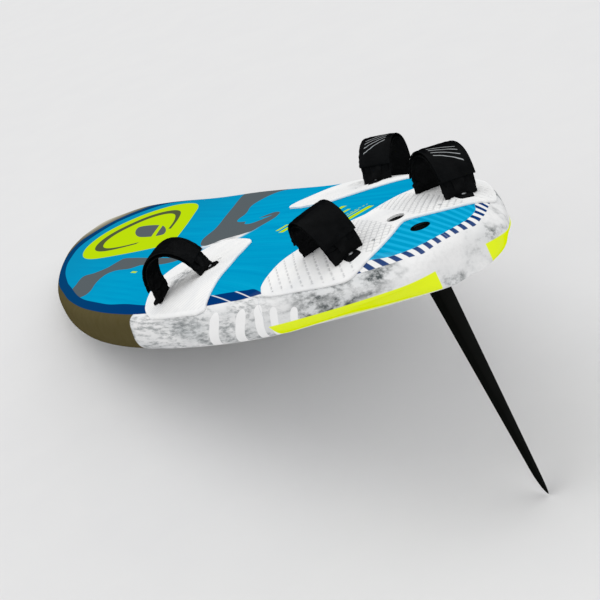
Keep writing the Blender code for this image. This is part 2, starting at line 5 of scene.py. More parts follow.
import bmesh
import bpy
from mathutils import Matrix, Vector, noise
from mathutils.bvhtree import BVHTree
from mathutils.kdtree import KDTree


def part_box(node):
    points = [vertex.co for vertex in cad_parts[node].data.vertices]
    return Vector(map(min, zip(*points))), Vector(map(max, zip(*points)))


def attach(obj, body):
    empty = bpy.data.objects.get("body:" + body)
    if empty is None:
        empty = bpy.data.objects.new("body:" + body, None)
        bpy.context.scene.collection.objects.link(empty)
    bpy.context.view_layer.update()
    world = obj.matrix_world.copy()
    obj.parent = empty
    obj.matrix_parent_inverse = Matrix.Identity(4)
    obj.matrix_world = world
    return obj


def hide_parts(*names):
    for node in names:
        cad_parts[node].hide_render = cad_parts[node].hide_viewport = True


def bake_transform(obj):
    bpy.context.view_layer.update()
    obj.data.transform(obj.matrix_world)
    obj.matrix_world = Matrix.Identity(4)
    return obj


# Looks of the windsurf board: fine hull with painted graphics, grooved EVA pads, padded footstraps.
# Frame: the origin is on the flat transom, +X runs to the nose, +Y to port, +Z up. Metres throughout.

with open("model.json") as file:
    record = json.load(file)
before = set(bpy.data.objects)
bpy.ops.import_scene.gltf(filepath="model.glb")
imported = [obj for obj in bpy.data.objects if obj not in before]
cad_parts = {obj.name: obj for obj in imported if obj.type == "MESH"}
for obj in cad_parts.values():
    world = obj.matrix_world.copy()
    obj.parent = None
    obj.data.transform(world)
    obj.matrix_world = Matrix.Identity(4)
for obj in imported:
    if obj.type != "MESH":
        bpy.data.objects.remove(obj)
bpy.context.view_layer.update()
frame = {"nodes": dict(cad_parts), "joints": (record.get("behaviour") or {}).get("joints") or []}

# ---------------------------------------------------------------- driving dimensions

SIDES = (("port", 1.0), ("starboard", -1.0))
PLACES = ("front", "rear")

# Hull form, as in the CAD but lofted finely and with rounded ends
BOARD_LENGTH = 2.445
HALF_WIDTH = 0.366
WIDE_POINT = 1.358
TRANSOM_HALF = 0.062
CORNER_LENGTH = 0.030
CORNER_HALF = 0.1133
NOSE_FULLNESS = (0.615, 0.557)
TAIL_FULLNESS = (0.223, 0.760)
ROCKER_START = 0.38
NOSE_LIFT = 0.170
ROCKER_POWER = 2.69
THICKNESS = ((0.0, 0.074), (0.10, 0.1204), (0.25, 0.1348), (0.50, 0.1444), (0.70, 0.1401),
             (0.85, 0.1100), (0.95, 0.0905), (1.0, 0.0618))
CROWN = 0.274
NOSE_CROWN = 0.883
TUCK_LIFT = 0.0285
TUCK_LENGTH = 0.449
RAIL_HALF_BAND = 0.004
TAIL_ROLL = (0.034, 0.024)   # the deck rolls down over this length, by this much, at the transom
NOSE_ROLL = (0.022, 0.018)
CORE_TRIM = 0.006
SHELL = 0.0024

SHARP_ANGLE = math.radians(40)

# Openings
BOLT_X = {"fore": 0.1853, "aft": 0.1007}
RECESS_RADIUS = 0.0132
VENT_X = 0.60
WELL_RIM = 0.0175
SPARE_HOLE_RADIUS = 0.0042

# Pads
PAD_THICKNESS = 0.0040
PAD_GAP = 0.0003
REAR_PAD_FORE = ((0.0, 0.316), (0.05, 0.335), (0.10, 0.352), (0.157, 0.352), (0.19, 0.349),
                 (0.226, 0.343), (0.238, 0.322))
REAR_PAD_AFT = ((0.0, 0.156), (0.012, 0.149), (0.040, 0.128), (0.068, 0.113), (0.106, 0.101),
                (0.145, 0.110), (0.167, 0.140), (0.200, 0.209), (0.231, 0.290), (0.238, 0.322))
FRONT_PAD_FORE = ((0.078, 0.866), (0.083, 0.950), (0.110, 0.990), (0.160, 1.002), (0.215, 0.995),
                  (0.275, 0.955), (0.322, 0.885), (0.334, 0.840), (0.3385, 0.798))
FRONT_PAD_AFT = ((0.078, 0.866), (0.086, 0.760), (0.108, 0.715), (0.148, 0.668), (0.193, 0.610),
                 (0.237, 0.573), (0.284, 0.535), (0.2955, 0.527), (0.3045, 0.555), (0.3098, 0.583),
                 (0.3275, 0.700), (0.3385, 0.798))

# Footstraps, in each strap's own frame: X along the screws, Y across, Z off the pad
ARCH_HALF_SPAN = 0.056
ARCH_HEIGHT = {"front": 0.0840, "rear": 0.0755}
ARCH_POWER = 2.2
SLEEVE = (0.0, 0.0054, 0.0720)       # inner offset, thickness, width
CORE = (0.0053, 0.0026, 0.0450)
COVER = (0.0078, 0.0050, 0.0725)
SLEEVE_FOOT = 0.0132
CORE_FOOT = 0.0108
COVER_HINGE = math.radians(35)
COVER_END = math.radians(158)
COVER_ROOT = math.radians(20)
LEAN_PIVOT_HEIGHT = 0.0078
SCREW_HALF_SPAN = 0.0708
LINE_SLANT = {"front": 0.42, "rear": -0.42}
PLUG_PITCH = 0.024

# Fin
FIN_MIDDLE = 0.141       # middle of the root chord
FIN_CHORD = 0.105
FIN_RAKE = 0.015
FIN_TAPER = 0.738
FIN_FATNESS = 0.094

# Printed graphics: curves are (place, height) points along the board, or across it where said
BORDER_START = 0.33
BORDER_OUTER = (
    (0.30, 0.225), (0.335, 0.236), (0.40, 0.258), (0.45, 0.270), (0.535, 0.288), (0.70, 0.314),
    (0.91, 0.337), (1.08, 0.345), (1.36, 0.348), (1.66, 0.336), (1.85, 0.313), (2.02, 0.287),
    (2.12, 0.262), (2.20, 0.230), (2.26, 0.185), (2.30, 0.120), (2.315, 0.0))
BORDER_INNER = (
    (0.30, 0.235), (0.36, 0.233), (0.40, 0.240), (0.45, 0.250), (0.545, 0.268), (0.70, 0.296),
    (0.89, 0.315), (1.08, 0.320), (1.28, 0.327), (1.45, 0.327), (1.83, 0.292), (1.93, 0.276),
    (2.10, 0.237), (2.20, 0.180), (2.25, 0.110), (2.275, 0.0))
BARS_OUTER = (
    (0.008, 0.0), (0.011, 0.050), (0.026, 0.076), (0.046, 0.094), (0.066, 0.109), (0.090, 0.126),
    (0.108, 0.138), (0.16, 0.164), (0.21, 0.195), (0.30, 0.226), (0.34, 0.238))
BARS_INNER = (
    (0.026, 0.0), (0.030, 0.036), (0.045, 0.066), (0.066, 0.088), (0.108, 0.116), (0.125, 0.165),
    (0.34, 0.245))
SWOOSH = (
    ((0.90, 0.028), (0.94, -0.045), (1.03, -0.075), (1.075, -0.045), (1.13, -0.030), (1.21, -0.035),
     (1.30, -0.090), (1.42, -0.150), (1.60, -0.330), (1.80, -0.345), (2.02, -0.310)),
    ((0.90, 0.036), (0.945, 0.050), (1.02, 0.070), (1.08, 0.097), (1.185, 0.073), (1.297, -0.004),
     (1.42, -0.070), (1.60, -0.163), (1.80, -0.258), (1.90, -0.290), (2.02, -0.305)))
SWOOSH_NOTCH = (((1.0, -0.055), (1.06, -0.046), (1.16, -0.075)),
                ((1.0, -0.050), (1.06, -0.012), (1.16, -0.050)))
PORT_SWOOSH = (      # read across the board
    ((0.150, 1.080), (0.164, 1.110), (0.180, 1.200), (0.187, 1.375), (0.205, 1.424), (0.222, 1.533),
     (0.249, 1.567), (0.276, 1.557), (0.302, 1.532), (0.335, 1.640)),
    ((0.150, 1.300), (0.158, 1.560), (0.168, 1.639), (0.209, 1.640), (0.239, 1.692), (0.263, 1.775),
     (0.296, 1.752), (0.335, 1.752)))
STROKE_SLANT = 0.3
LIME_STROKES = (     # aft edge, middle of its width, length across the board, width along it
    (0.372, -0.016, 0.066, 0.026), (0.412, -0.012, 0.044, 0.008), (0.475, -0.024, 0.034, 0.018),
    (0.548, -0.046, 0.034, 0.028), (0.605, 0.022, 0.028, 0.020), (0.640, 0.042, 0.024, 0.030),
    (0.695, 0.030, 0.030, 0.018))
RAIL_BARS = (        # foot and top along the board, height of the top, radius
    (0.560, 0.500, 0.056, 0.0200), (0.455, 0.400, 0.055, 0.0170), (0.372, 0.338, 0.060, 0.0130),
    (0.325, 0.297, 0.052, 0.0110), (0.272, 0.245, 0.044, 0.0100))

# Camera and studio
CAMERA_PLACE = (-2.2089, 0.949, 0.4403)
CAMERA_TURN = (-0.2954, -0.1478, -0.4457)    # heading, rise and roll, in radians
CAMERA_LENS = 89.62
SENSOR_WIDTH = 36.0


# ---------------------------------------------------------------- shader helper

def tone(red, green, blue):
    """Linear colour of an sRGB value given as 0-255."""
    def linear(value):
        share = value / 255.0
        return share / 12.92 if share <= 0.04045 else ((share + 0.055) / 1.055) ** 2.4
    return (linear(red), linear(green), linear(blue), 1.0)


class Paint:
    """A material whose nodes are strung together by method calls; each returns an output socket."""

    def __init__(self, name):
        self.material = bpy.data.materials.new(name)
        self.material.use_nodes = True
        self.tree = self.material.node_tree
        self.shader = self.tree.nodes["Principled BSDF"]
        coordinates = self.tree.nodes.new("ShaderNodeTexCoord")
        self.place = coordinates.outputs["Object"]
        split = self.node("ShaderNodeSeparateXYZ", self.place)
        self.x, self.y, self.z = split.outputs

    def node(self, kind, *inputs, **settings):
        made = self.tree.nodes.new(kind)
        for name, value in settings.items():
            setattr(made, name, value)
        for socket, value in zip(made.inputs, inputs):
            self.feed(socket, value)
        return made

    def feed(self, socket, value):
        if value is None:
            return
        if isinstance(value, bpy.types.NodeSocket):
            self.tree.links.new(value, socket)
        else:
            socket.default_value = value

    def math(self, operation, a, b=None):
        return self.node("ShaderNodeMath", a, b, operation=operation).outputs[0]

    def plus(self, a, b):
        return self.math("ADD", a, b)

    def minus(self, a, b):
        return self.math("SUBTRACT", a, b)

    def times(self, a, b):
        return self.math("MULTIPLY", a, b)

    def length(self, u, v):
        return self.math("SQRT", self.plus(self.times(u, u), self.times(v, v)))

    def wave(self, value, rate):
        return self.math("SINE", self.times(value, rate))

    def ramp(self, value, low, high, first=0.0, last=1.0):
        """first up to low, last from high on, straight between."""
        return self.node("ShaderNodeMapRange", value, low, high, first, last).outputs[0]

    def mix(self, share, a, b):
        made = self.tree.nodes.new("ShaderNodeMix")
        made.data_type = "RGBA"
        self.feed(made.inputs[0], share)
        self.feed(made.inputs[6], a)
        self.feed(made.inputs[7], b)
        return made.outputs[2]

    def every(self, *masks):
        """Product of masks."""
        return reduce(self.times, masks)

    def either(self, *masks):
        """Largest of the masks."""
        return reduce(lambda a, b: self.math("MAXIMUM", a, b), masks)

    def inverse(self, mask):
        return self.minus(1.0, mask)

    def above(self, value, limit, soft=0.0012):
        """Soft step: 1 where value is over limit, a number or a socket."""
        return self.ramp(self.minus(value, limit), -0.5 * soft, 0.5 * soft)

    def within(self, value, low, high, soft=0.0012):
        return self.every(self.above(value, low, soft), self.above(high, value, soft))

    def line(self, points, value):
        """Height of a smooth curve through (place, height) points, read at value."""
        places = [place for place, _ in points]
        heights = [height for _, height in points]
        start, end = min(places), max(places)
        low, high = min(heights), max(heights)
        made = self.node("ShaderNodeFloatCurve", 1.0, self.ramp(value, start, end))
        curve = made.mapping.curves[0]
        while len(curve.points) < len(points):
            curve.points.new(0.5, 0.5)
        for knot, (place, height) in zip(curve.points, sorted(points)):
            knot.location = ((place - start) / (end - start), (height - low) / (high - low))
            knot.handle_type = "AUTO_CLAMPED"
        made.mapping.update()
        return self.ramp(made.outputs[0], 0.0, 1.0, low, high)

    def between(self, low_points, high_points, along=None, across=None):
        """Area between two curves, and between the ends they share."""
        along = self.x if along is None else along
        across = self.y if across is None else across
        start = max(low_points[0][0], high_points[0][0])
        end = min(low_points[-1][0], high_points[-1][0])
        return self.every(self.within(along, start, end),
                          self.above(across, self.line(low_points, along)),
                          self.above(self.line(high_points, along), across))

    def scaled(self, scale, offset=(0.0, 0.0, 0.0)):
        made = self.node("ShaderNodeMapping", self.place)
        made.inputs["Scale"].default_value = scale
        made.inputs["Location"].default_value = offset
        return made.outputs[0]

    def noise(self, scale=(1.0, 1.0, 1.0), detail=4.0, rough=0.55, offset=(0.0, 0.0, 0.0)):
        made = self.tree.nodes.new("ShaderNodeTexNoise")
        made.inputs["Scale"].default_value = 1.0
        made.inputs["Detail"].default_value = detail
        made.inputs["Roughness"].default_value = rough
        self.feed(made.inputs["Vector"], self.scaled(scale, offset))
        return made.outputs[0]

    def stripes(self, value, period, share, soft=0.12):
        """Repeating band: 1 over `share` of each period."""
        cycle = self.math("FRACT", self.math("DIVIDE", value, period))
        rise = self.ramp(cycle, 0.0, soft)
        return self.every(rise, self.inverse(self.ramp(cycle, share, share + soft)))

    def bump(self, height, distance, strength=1.0, below=None):
        made = self.tree.nodes.new("ShaderNodeBump")
        made.inputs["Strength"].default_value = strength
        made.inputs["Distance"].default_value = distance
        self.feed(made.inputs["Height"], height)
        if below is not None:
            self.feed(made.inputs["Normal"], below)
        return made.outputs[0]

    def gloss(self, level):
        """Specular level that fades out at grazing angles, as under a polarised studio light."""
        facing = self.node("ShaderNodeLayerWeight", 0.5).outputs["Facing"]
        return self.ramp(facing, 0.35, 0.60, level, 0.0)

    def finish(self, colour, roughness, normal=None, specular=None, metallic=None):
        names = {"Base Color": colour, "Roughness": roughness, "Metallic": metallic,
                 "Normal": normal, "Specular IOR Level": specular}
        for name, value in names.items():
            self.feed(self.shader.inputs[name], value)
        return self.material


# ---------------------------------------------------------------- materials

CYAN = tone(2, 160, 204)
CYAN_DARK = tone(0, 148, 196)
CYAN_LIGHT = tone(24, 176, 222)
NAVY = tone(2, 54, 116)
NAVY_FADED = tone(6, 64, 112)
LIME = tone(186, 218, 12)
LIME_BRIGHT = tone(238, 255, 4)
GREY = tone(88, 96, 100)
OLIVE = tone(92, 84, 58)
WHITE = tone(240, 240, 240)
PAD_WHITE = tone(248, 248, 247)
BRUSH = tone(34, 48, 50)
INK = tone(80, 89, 60)


def marble(paint):
    """White with fine lengthwise brush marks, denser forward, and dark smudges towards the tail."""
    fine = paint.noise((11.0, 150.0, 150.0), detail=6.0, rough=0.62)
    coarse = paint.noise((9.0, 22.0, 30.0), detail=6.0, rough=0.66, offset=(3.1, 0.4, 0.7))
    wash = paint.noise((5.0, 9.0, 12.0), detail=3.0, offset=(1.7, 5.2, 0.0))
    forward = paint.ramp(paint.x, 0.24, 0.36)
    strokes = paint.every(paint.ramp(fine, 0.44, 0.62), paint.ramp(coarse, 0.36, 0.52))
    smudge = paint.every(paint.ramp(coarse, 0.47, 0.60), paint.ramp(fine, 0.24, 0.52),
                         paint.ramp(wash, 0.46, 0.56))
    base = paint.mix(paint.ramp(wash, 0.40, 0.62), WHITE, tone(220, 222, 223))
    strength = paint.times(strokes, paint.ramp(forward, 0.0, 1.0, 0.08, 0.70))
    base = paint.mix(strength, base, tone(128, 134, 136))
    fade = paint.ramp(forward, 0.0, 1.0, 0.95, 0.35)
    return paint.mix(paint.times(smudge, fade), base, BRUSH)


def oval(paint, centre, turn, half_length, half_width, taper, power=2.5):
    """1 on the edge of an egg-shaped outline, less inside it."""
    along = paint.minus(paint.x, centre[0])
    across = paint.minus(paint.y, centre[1])
    c, s = math.cos(turn), math.sin(turn)
    u = paint.plus(paint.times(along, c / half_length), paint.times(across, s / half_length))
    v = paint.minus(paint.times(across, c / half_width), paint.times(along, s / half_width))
    v = paint.math("DIVIDE", v, paint.plus(1.0, paint.times(u, taper)))
    powers = [paint.math("POWER", paint.math("ABSOLUTE", part), power) for part in (u, v)]
    return paint.math("POWER", paint.plus(*powers), 1.0 / power)


def deck_emblem(paint, colour):
    """Lime egg on the foredeck with a dark ring and a plain lens shape inside it."""
    egg = oval(paint, (1.835, 0.028), -0.13, 0.383, 0.142, 0.75)
    ring = oval(paint, (1.910, 0.020), -0.09, 0.240, 0.102, 0.60)
    lens = oval(paint, (1.865, 0.015), -0.09, 0.195, 0.036, 0.10, power=1.6)
    colour = paint.mix(paint.above(1.0, egg, 0.006), colour, LIME)
    band = paint.within(ring, 0.925, 1.075, 0.012)
    broken = paint.inverse(paint.every(paint.above(paint.y, 0.0), paint.above(1.76, paint.x)))
    colour = paint.mix(paint.every(band, broken), colour, INK)
    notch = paint.within(paint.plus(paint.x, paint.times(paint.y, 2.2)), 1.81, 1.85)
    return paint.mix(paint.every(paint.above(1.0, lens, 0.01), paint.inverse(notch)), colour, GREY)


def deck_swooshes(paint, colour):
    """Flowing grey bands across the foredeck."""
    main = paint.between(*SWOOSH)
    notch = paint.between(*SWOOSH_NOTCH)
    port = paint.between(*PORT_SWOOSH, along=paint.y, across=paint.x)
    shape = paint.either(paint.every(main, paint.inverse(notch)), port)
    return paint.mix(shape, colour, GREY)


def lime_marks(paint, colour):
    """Short plain strokes and one dotted line on the middle of the deck."""
    masks = [paint.every(paint.within(paint.x, 0.436, 0.441), paint.within(paint.y, -0.060, 0.030),
                         paint.stripes(paint.y, 0.009, 0.6))]
    slant = paint.plus(paint.x, paint.times(paint.y, STROKE_SLANT))
    for x, y, length, width in LIME_STROKES:
        near = x + STROKE_SLANT * y
        masks.append(paint.every(paint.within(slant, near, near + width),
                                 paint.within(paint.y, y - length / 2.0, y + length / 2.0)))
    masks.append(paint.every(paint.within(paint.x, 1.31, 1.36), paint.within(paint.y, 0.215, 0.222)))
    return paint.mix(paint.either(*masks), colour, LIME)


def tail_panel(paint, colour, beam):
    """Fanned stripes aft of the rear pad and the row of navy bars round the tail."""
    fan = paint.math("DIVIDE", paint.y, paint.plus(0.86, paint.times(paint.x, 1.3)))
    aft = paint.above(BORDER_START, paint.x)
    colour = paint.mix(paint.every(paint.stripes(fan, 0.0145, 0.42, soft=0.22), aft), colour, CYAN_LIGHT)
    band = paint.every(paint.above(beam, paint.line(BARS_INNER, paint.x)), aft)
    bars = paint.stripes(paint.plus(beam, 0.004), 0.0168, 0.50, soft=0.06)
    colour = paint.mix(band, colour, WHITE)
    colour = paint.mix(paint.every(band, bars), colour, NAVY)
    outside = paint.either(paint.above(beam, paint.line(BARS_OUTER, paint.x)),
                           paint.above(0.0115, paint.x))
    return colour, paint.every(outside, aft)


def deck_border(paint, colour, beam):
    """Navy band round the deck; returns the colour and the mask of the rail outside it."""
    forward = paint.above(paint.x, BORDER_START)
    band = paint.every(paint.above(beam, paint.line(BORDER_INNER, paint.x)), forward)
    colour = paint.mix(band, colour, paint.mix(paint.ramp(paint.x, 0.7, 1.7), NAVY, NAVY_FADED))
    strokes = [paint.within(beam, y - 0.0008, y + 0.0008) for y in (0.229, 0.248, 0.267)]
    rays = paint.every(paint.either(*strokes), paint.within(paint.x, 0.34, 0.56), band)
    colour = paint.mix(rays, colour, WHITE)
    outside = paint.either(paint.above(beam, paint.line(BORDER_OUTER, paint.x)),
                           paint.above(paint.x, BORDER_OUTER[-1][0]))
    return colour, paint.every(outside, forward)


def rail_shapes(paint, colour):
    """Plain leaning bars with round tops along the marbled rail between the pads, on the port side."""
    masks = []
    for foot_x, top_x, top_z, radius in RAIL_BARS:
        lean = (foot_x - top_x) / top_z
        sideways = paint.minus(paint.plus(paint.x, paint.times(paint.z, lean)), foot_x)
        above_top = paint.math("MAXIMUM", paint.minus(paint.z, top_z), 0.0)
        masks.append(paint.above(radius, paint.length(sideways, above_top)))
    port = paint.above(paint.y, 0.0)
    return paint.mix(paint.every(paint.either(*masks), port), colour, tone(250, 250, 250))


def rail_colour(paint, beam):
    """Marbled aft rail, olive forward rail, pale nose tip and the lime strip beside the tail."""
    stone = rail_shapes(paint, marble(paint))
    slanted = paint.plus(paint.x, paint.times(paint.z, 0.45))
    earth = paint.mix(paint.noise((30.0, 30.0, 30.0)), OLIVE, tone(80, 72, 42))
    rail = paint.mix(paint.above(slanted, 0.995, 0.006), stone, earth)
    rail = paint.mix(paint.ramp(paint.x, 2.29, 2.40), rail, tone(188, 184, 168))
    top = paint.line(((0.0, 0.034), (0.32, 0.029)), paint.x)
    end = paint.minus(paint.x, paint.times(paint.z, 0.6))
    lime = paint.every(paint.above(top, paint.z), paint.above(0.312, end), paint.above(beam, 0.050))
    return paint.mix(lime, rail, LIME_BRIGHT)


def varnish(paint, colour):
    """Glossy clear coat with fine lengthwise scuffs."""
    scuffs = paint.noise((9.0, 90.0, 90.0), detail=5.0)
    orange_peel = paint.noise((350.0, 350.0, 350.0), detail=2.0)
    rough = paint.ramp(scuffs, 0.3, 0.7, 0.30, 0.46)
    return paint.finish(colour, rough, normal=paint.bump(orange_peel, 0.0002, 0.25),
                        specular=paint.gloss(0.30))


def hull_paint():
    """Sprayed and varnished deck and rails; everything is placed from the board's own coordinates."""
    paint = Paint("hull_paint")
    beam = paint.math("ABSOLUTE", paint.y)
    streak = paint.noise((1.6, 60.0, 0.0), detail=3.0)
    colour = paint.mix(paint.ramp(streak, 0.35, 0.65), CYAN_DARK, CYAN)
    hair = paint.ramp(paint.noise((1.0, 420.0, 0.0), detail=2.0), 0.58, 0.72)
    colour = paint.mix(paint.every(hair, paint.above(0.9, paint.x), 0.35), colour, CYAN_LIGHT)
    colour = paint.mix(paint.ramp(paint.x, 1.2, 2.2), colour, tone(10, 140, 184))
    wash = paint.every(paint.within(paint.x, 0.90, 1.10, 0.03), paint.within(paint.y, 0.03, 0.11, 0.03))
    colour = paint.mix(wash, colour, marble(paint))
    colour = deck_swooshes(paint, colour)
    colour = deck_emblem(paint, colour)
    colour = lime_marks(paint, colour)
    colour, tail_rail = tail_panel(paint, colour, beam)
    colour, side_rail = deck_border(paint, colour, beam)
    colour = paint.mix(paint.either(tail_rail, side_rail), colour, rail_colour(paint, beam))
    return varnish(paint, well_rims(paint, colour))


def bottom_paint():
    """Rails as on the deck, and a plain white bottom with faint lengthwise sanding marks."""
    paint = Paint("bottom_lacquer")
    beam = paint.math("ABSOLUTE", paint.y)
    facing = paint.node("ShaderNodeSeparateXYZ", paint.node("ShaderNodeNewGeometry").outputs["Normal"])
    downward = paint.ramp(facing.outputs[2], -0.80, -0.92)
    sanding = paint.noise((4.0, 260.0, 4.0), detail=5.0)
    white = paint.mix(paint.ramp(sanding, 0.40, 0.65), WHITE, tone(226, 228, 229))
    return varnish(paint, paint.mix(downward, rail_colour(paint, beam), white))


def well_rims(paint, colour):
    """Black cup of the two bolt wells, seen round the bolts."""
    rims = [paint.above(WELL_RIM, paint.length(paint.minus(paint.x, x), paint.y))
            for x in BOLT_X.values()]
    return paint.mix(paint.either(*rims), colour, tone(10, 11, 12))


def eva_foam(name, shade=None):
    """Foam pad: fine grain, painted shade in the grooves, and a painted strap shade, broken up by noise,
    round (centre, half sizes).
    """
    paint = Paint(name)
    groove = paint.node("ShaderNodeAttribute", attribute_name="groove").outputs["Fac"]
    grain = paint.noise((900.0, 900.0, 900.0), detail=2.0)
    soil = paint.noise((18.0, 18.0, 18.0), detail=5.0)
    colour = paint.mix(paint.ramp(soil, 0.35, 0.70), PAD_WHITE, tone(238, 239, 240))
    # Painted shade: a darker patch where the front strap shades the pad; the noise below only breaks it
    # up.
    if shade:
        (x, y), (long, wide) = shade
        u = paint.math("DIVIDE", paint.minus(paint.x, x), long)
        v = paint.math("DIVIDE", paint.minus(paint.math("ABSOLUTE", paint.y), y), wide)
        near = paint.inverse(paint.ramp(paint.length(u, v), 0.3, 1.0))
        brush = paint.ramp(paint.noise((60.0, 60.0, 60.0), detail=6.0, rough=0.7), 0.42, 0.62)
        colour = paint.mix(paint.every(near, brush, 0.75), colour, tone(96, 102, 104))
    # Painted shade: the grooves are greyed where shade falls into them.
    colour = paint.mix(paint.times(groove, 0.50), colour, tone(150, 154, 158))
    return paint.finish(colour, 0.78, normal=paint.bump(grain, 0.0006, 0.5), specular=paint.gloss(0.1))


def neoprene(name, slant=None):
    """Black strap cover: fine knit bump, worn patches and, with a slant, four thin pale lines."""
    paint = Paint(name)
    knit = paint.times(paint.wave(paint.x, 3600.0), paint.wave(paint.y, 3600.0))
    fuzz = paint.noise((700.0, 700.0, 700.0), detail=3.0)
    patch = paint.noise((40.0, 40.0, 40.0), detail=4.0)
    colour = paint.mix(paint.ramp(patch, 0.35, 0.70), tone(7, 8, 9), tone(15, 16, 17))
    if slant is not None:
        place = paint.node("ShaderNodeAttribute", attribute_name="strap_place").outputs["Vector"]
        x, y, z = paint.node("ShaderNodeSeparateXYZ", place).outputs
        slope = paint.plus(x, paint.times(y, slant))
        marks = [paint.within(slope, start, start + 0.0012, 0.0006)
                 for start in (-0.044, -0.036, -0.028, -0.020)]
        mask = paint.every(paint.either(*marks), paint.within(y, -0.022, 0.024), paint.above(z, 0.040))
        colour = paint.mix(paint.times(mask, 0.8), colour, tone(200, 204, 206))
    normal = paint.bump(knit, 0.0003, 0.35, below=paint.bump(fuzz, 0.0005, 0.4))
    return paint.finish(colour, 0.82, normal=normal, specular=paint.gloss(0.06))


def webbing_weave():
    """Woven strap: crossed threads and a little wear."""
    paint = Paint("webbing_weave")
    weave = paint.times(paint.wave(paint.y, 2400.0), paint.wave(paint.x, 2400.0))
    wear = paint.noise((60.0, 60.0, 60.0), detail=4.0)
    colour = paint.mix(paint.ramp(wear, 0.4, 0.7), tone(9, 10, 11), tone(20, 21, 22))
    return paint.finish(colour, 0.75, normal=paint.bump(weave, 0.0004, 0.6), specular=paint.gloss(0.06))


def moulded_plastic(name, colour, rough=0.45, grain=0.3):
    """Plastic with a fine skin and paler wear."""
    paint = Paint(name)
    skin = paint.noise((800.0, 800.0, 800.0), detail=3.0)
    wear = paint.noise((90.0, 90.0, 90.0), detail=5.0)
    lighter = tuple(min(1.0, c * 1.8 + 0.01) for c in colour[:3]) + (1.0,)
    mixed = paint.mix(paint.ramp(wear, 0.5, 0.75), colour, lighter)
    roughness = paint.ramp(wear, 0.3, 0.7, rough - 0.08, rough + 0.12)
    return paint.finish(mixed, roughness, normal=paint.bump(skin, 0.0003, grain),
                        specular=paint.gloss(0.12))


def laminate():
    """Fin: black wet-sanded laminate with a faint cloth pattern under the surface."""
    paint = Paint("fin_laminate_looks")
    cloth = paint.times(paint.wave(paint.plus(paint.x, paint.z), 1400.0),
                        paint.wave(paint.minus(paint.x, paint.z), 1400.0))
    scratch = paint.noise((40.0, 40.0, 900.0), detail=4.0)
    colour = paint.mix(paint.ramp(cloth, -0.2, 1.0), tone(12, 13, 12), tone(20, 21, 19))
    return paint.finish(colour, paint.ramp(scratch, 0.3, 0.7, 0.30, 0.46),
                        normal=paint.bump(scratch, 0.0002, 0.2), specular=paint.gloss(0.03))


def brushed_metal(name, colour):
    """Turned metal with fine lathe marks and darker stains."""
    paint = Paint(name)
    lathe = paint.noise((200.0, 200.0, 2500.0), detail=3.0)
    stain = paint.noise((400.0, 400.0, 400.0), detail=4.0)
    darker = tuple(c * 0.6 for c in colour[:3]) + (1.0,)
    mixed = paint.mix(paint.ramp(stain, 0.5, 0.8), colour, darker)
    rough = paint.ramp(lathe, 0.3, 0.7, 0.22, 0.42)
    return paint.finish(mixed, rough, normal=paint.bump(lathe, 0.0001, 0.3), metallic=1.0)


def bead_foam():
    """White foam of small pressed beads."""
    paint = Paint("bead_foam")
    cells = paint.tree.nodes.new("ShaderNodeTexVoronoi")
    paint.feed(cells.inputs["Vector"], paint.scaled((260.0, 260.0, 260.0)))
    cells.inputs["Scale"].default_value = 1.0
    colour = paint.mix(paint.ramp(cells.outputs[0], 0.2, 0.7), tone(244, 244, 240), tone(222, 222, 216))
    return paint.finish(colour, 0.9, normal=paint.bump(cells.outputs[0], 0.001, 0.5))


# ---------------------------------------------------------------- mesh helpers

def new_object(name, bm, finish=None):
    """Links a mesh object made from a bmesh, which is used up."""
    mesh = bpy.data.meshes.new(name)
    bm.to_mesh(mesh)
    bm.free()
    if finish:
        mesh.materials.append(finish)
    obj = bpy.data.objects.new(name, mesh)
    bpy.context.scene.collection.objects.link(obj)
    return obj


def make_piece(name, bm, body, finish, matrix=None):
    """Smooth-shaded piece on a body, in the row frame or in a local frame."""
    obj = new_object(name, bm, finish)
    if matrix is not None:
        obj.matrix_world = matrix
    obj.data.shade_smooth()
    obj.data.set_sharp_from_angle(angle=SHARP_ANGLE)
    if body:
        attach(obj, body)
    return obj


def apply_modifiers(obj):
    """Replaces the object's mesh by its evaluated one."""
    bpy.context.view_layer.update()
    evaluated = obj.evaluated_get(bpy.context.evaluated_depsgraph_get())
    final = bpy.data.meshes.new_from_object(evaluated)
    obj.modifiers.clear()
    obj.data = final


def carve(obj, cutter_bm, operation="DIFFERENCE"):
    """Cuts a closed bmesh out of an object, or keeps only what lies inside it."""
    cutter = new_object("cutter", cutter_bm)
    modifier = obj.modifiers.new("Openings", "BOOLEAN")
    modifier.object = cutter
    modifier.solver = "EXACT"
    modifier.operation = operation
    apply_modifiers(obj)
    bpy.data.objects.remove(cutter, do_unlink=True)


def add_cylinder(bm, matrix, radius, low, high, segments=48):
    place = matrix @ Matrix.Translation((0.0, 0.0, (low + high) / 2.0))
    bmesh.ops.create_cone(bm, cap_ends=True, segments=segments, radius1=radius, radius2=radius,
                          depth=high - low, matrix=place)


def join_rings(bm, rings, closed=True):
    """Quads between neighbouring rows of vertices; closed rows wrap round."""
    count = len(rings[0])
    for near, far in zip(rings, rings[1:]):
        for j in range(count if closed else count - 1):
            k = (j + 1) % count
            bm.faces.new((near[j], near[k], far[k], far[j]))


def cap_rings(bm, rings, closed=True):
    """Joined rings with a face over each end."""
    join_rings(bm, rings, closed)
    bm.faces.new(list(reversed(rings[0])))
    bm.faces.new(rings[-1])
    bmesh.ops.recalc_face_normals(bm, faces=bm.faces)


def close_sheet(bm, top, under):
    """Joins two matching grids of vertices into one closed sheet."""
    join_rings(bm, top, closed=False)
    join_rings(bm, [list(reversed(row)) for row in under], closed=False)
    borders = ((top[0], under[0]), (top[-1], under[-1]),
               ([row[0] for row in top], [row[0] for row in under]),
               ([row[-1] for row in top], [row[-1] for row in under]))
    for upper, lower in borders:
        for a, b, c, d in zip(upper, upper[1:], lower[1:], lower):
            bm.faces.new((b, a, d, c))
    bmesh.ops.recalc_face_normals(bm, faces=bm.faces)


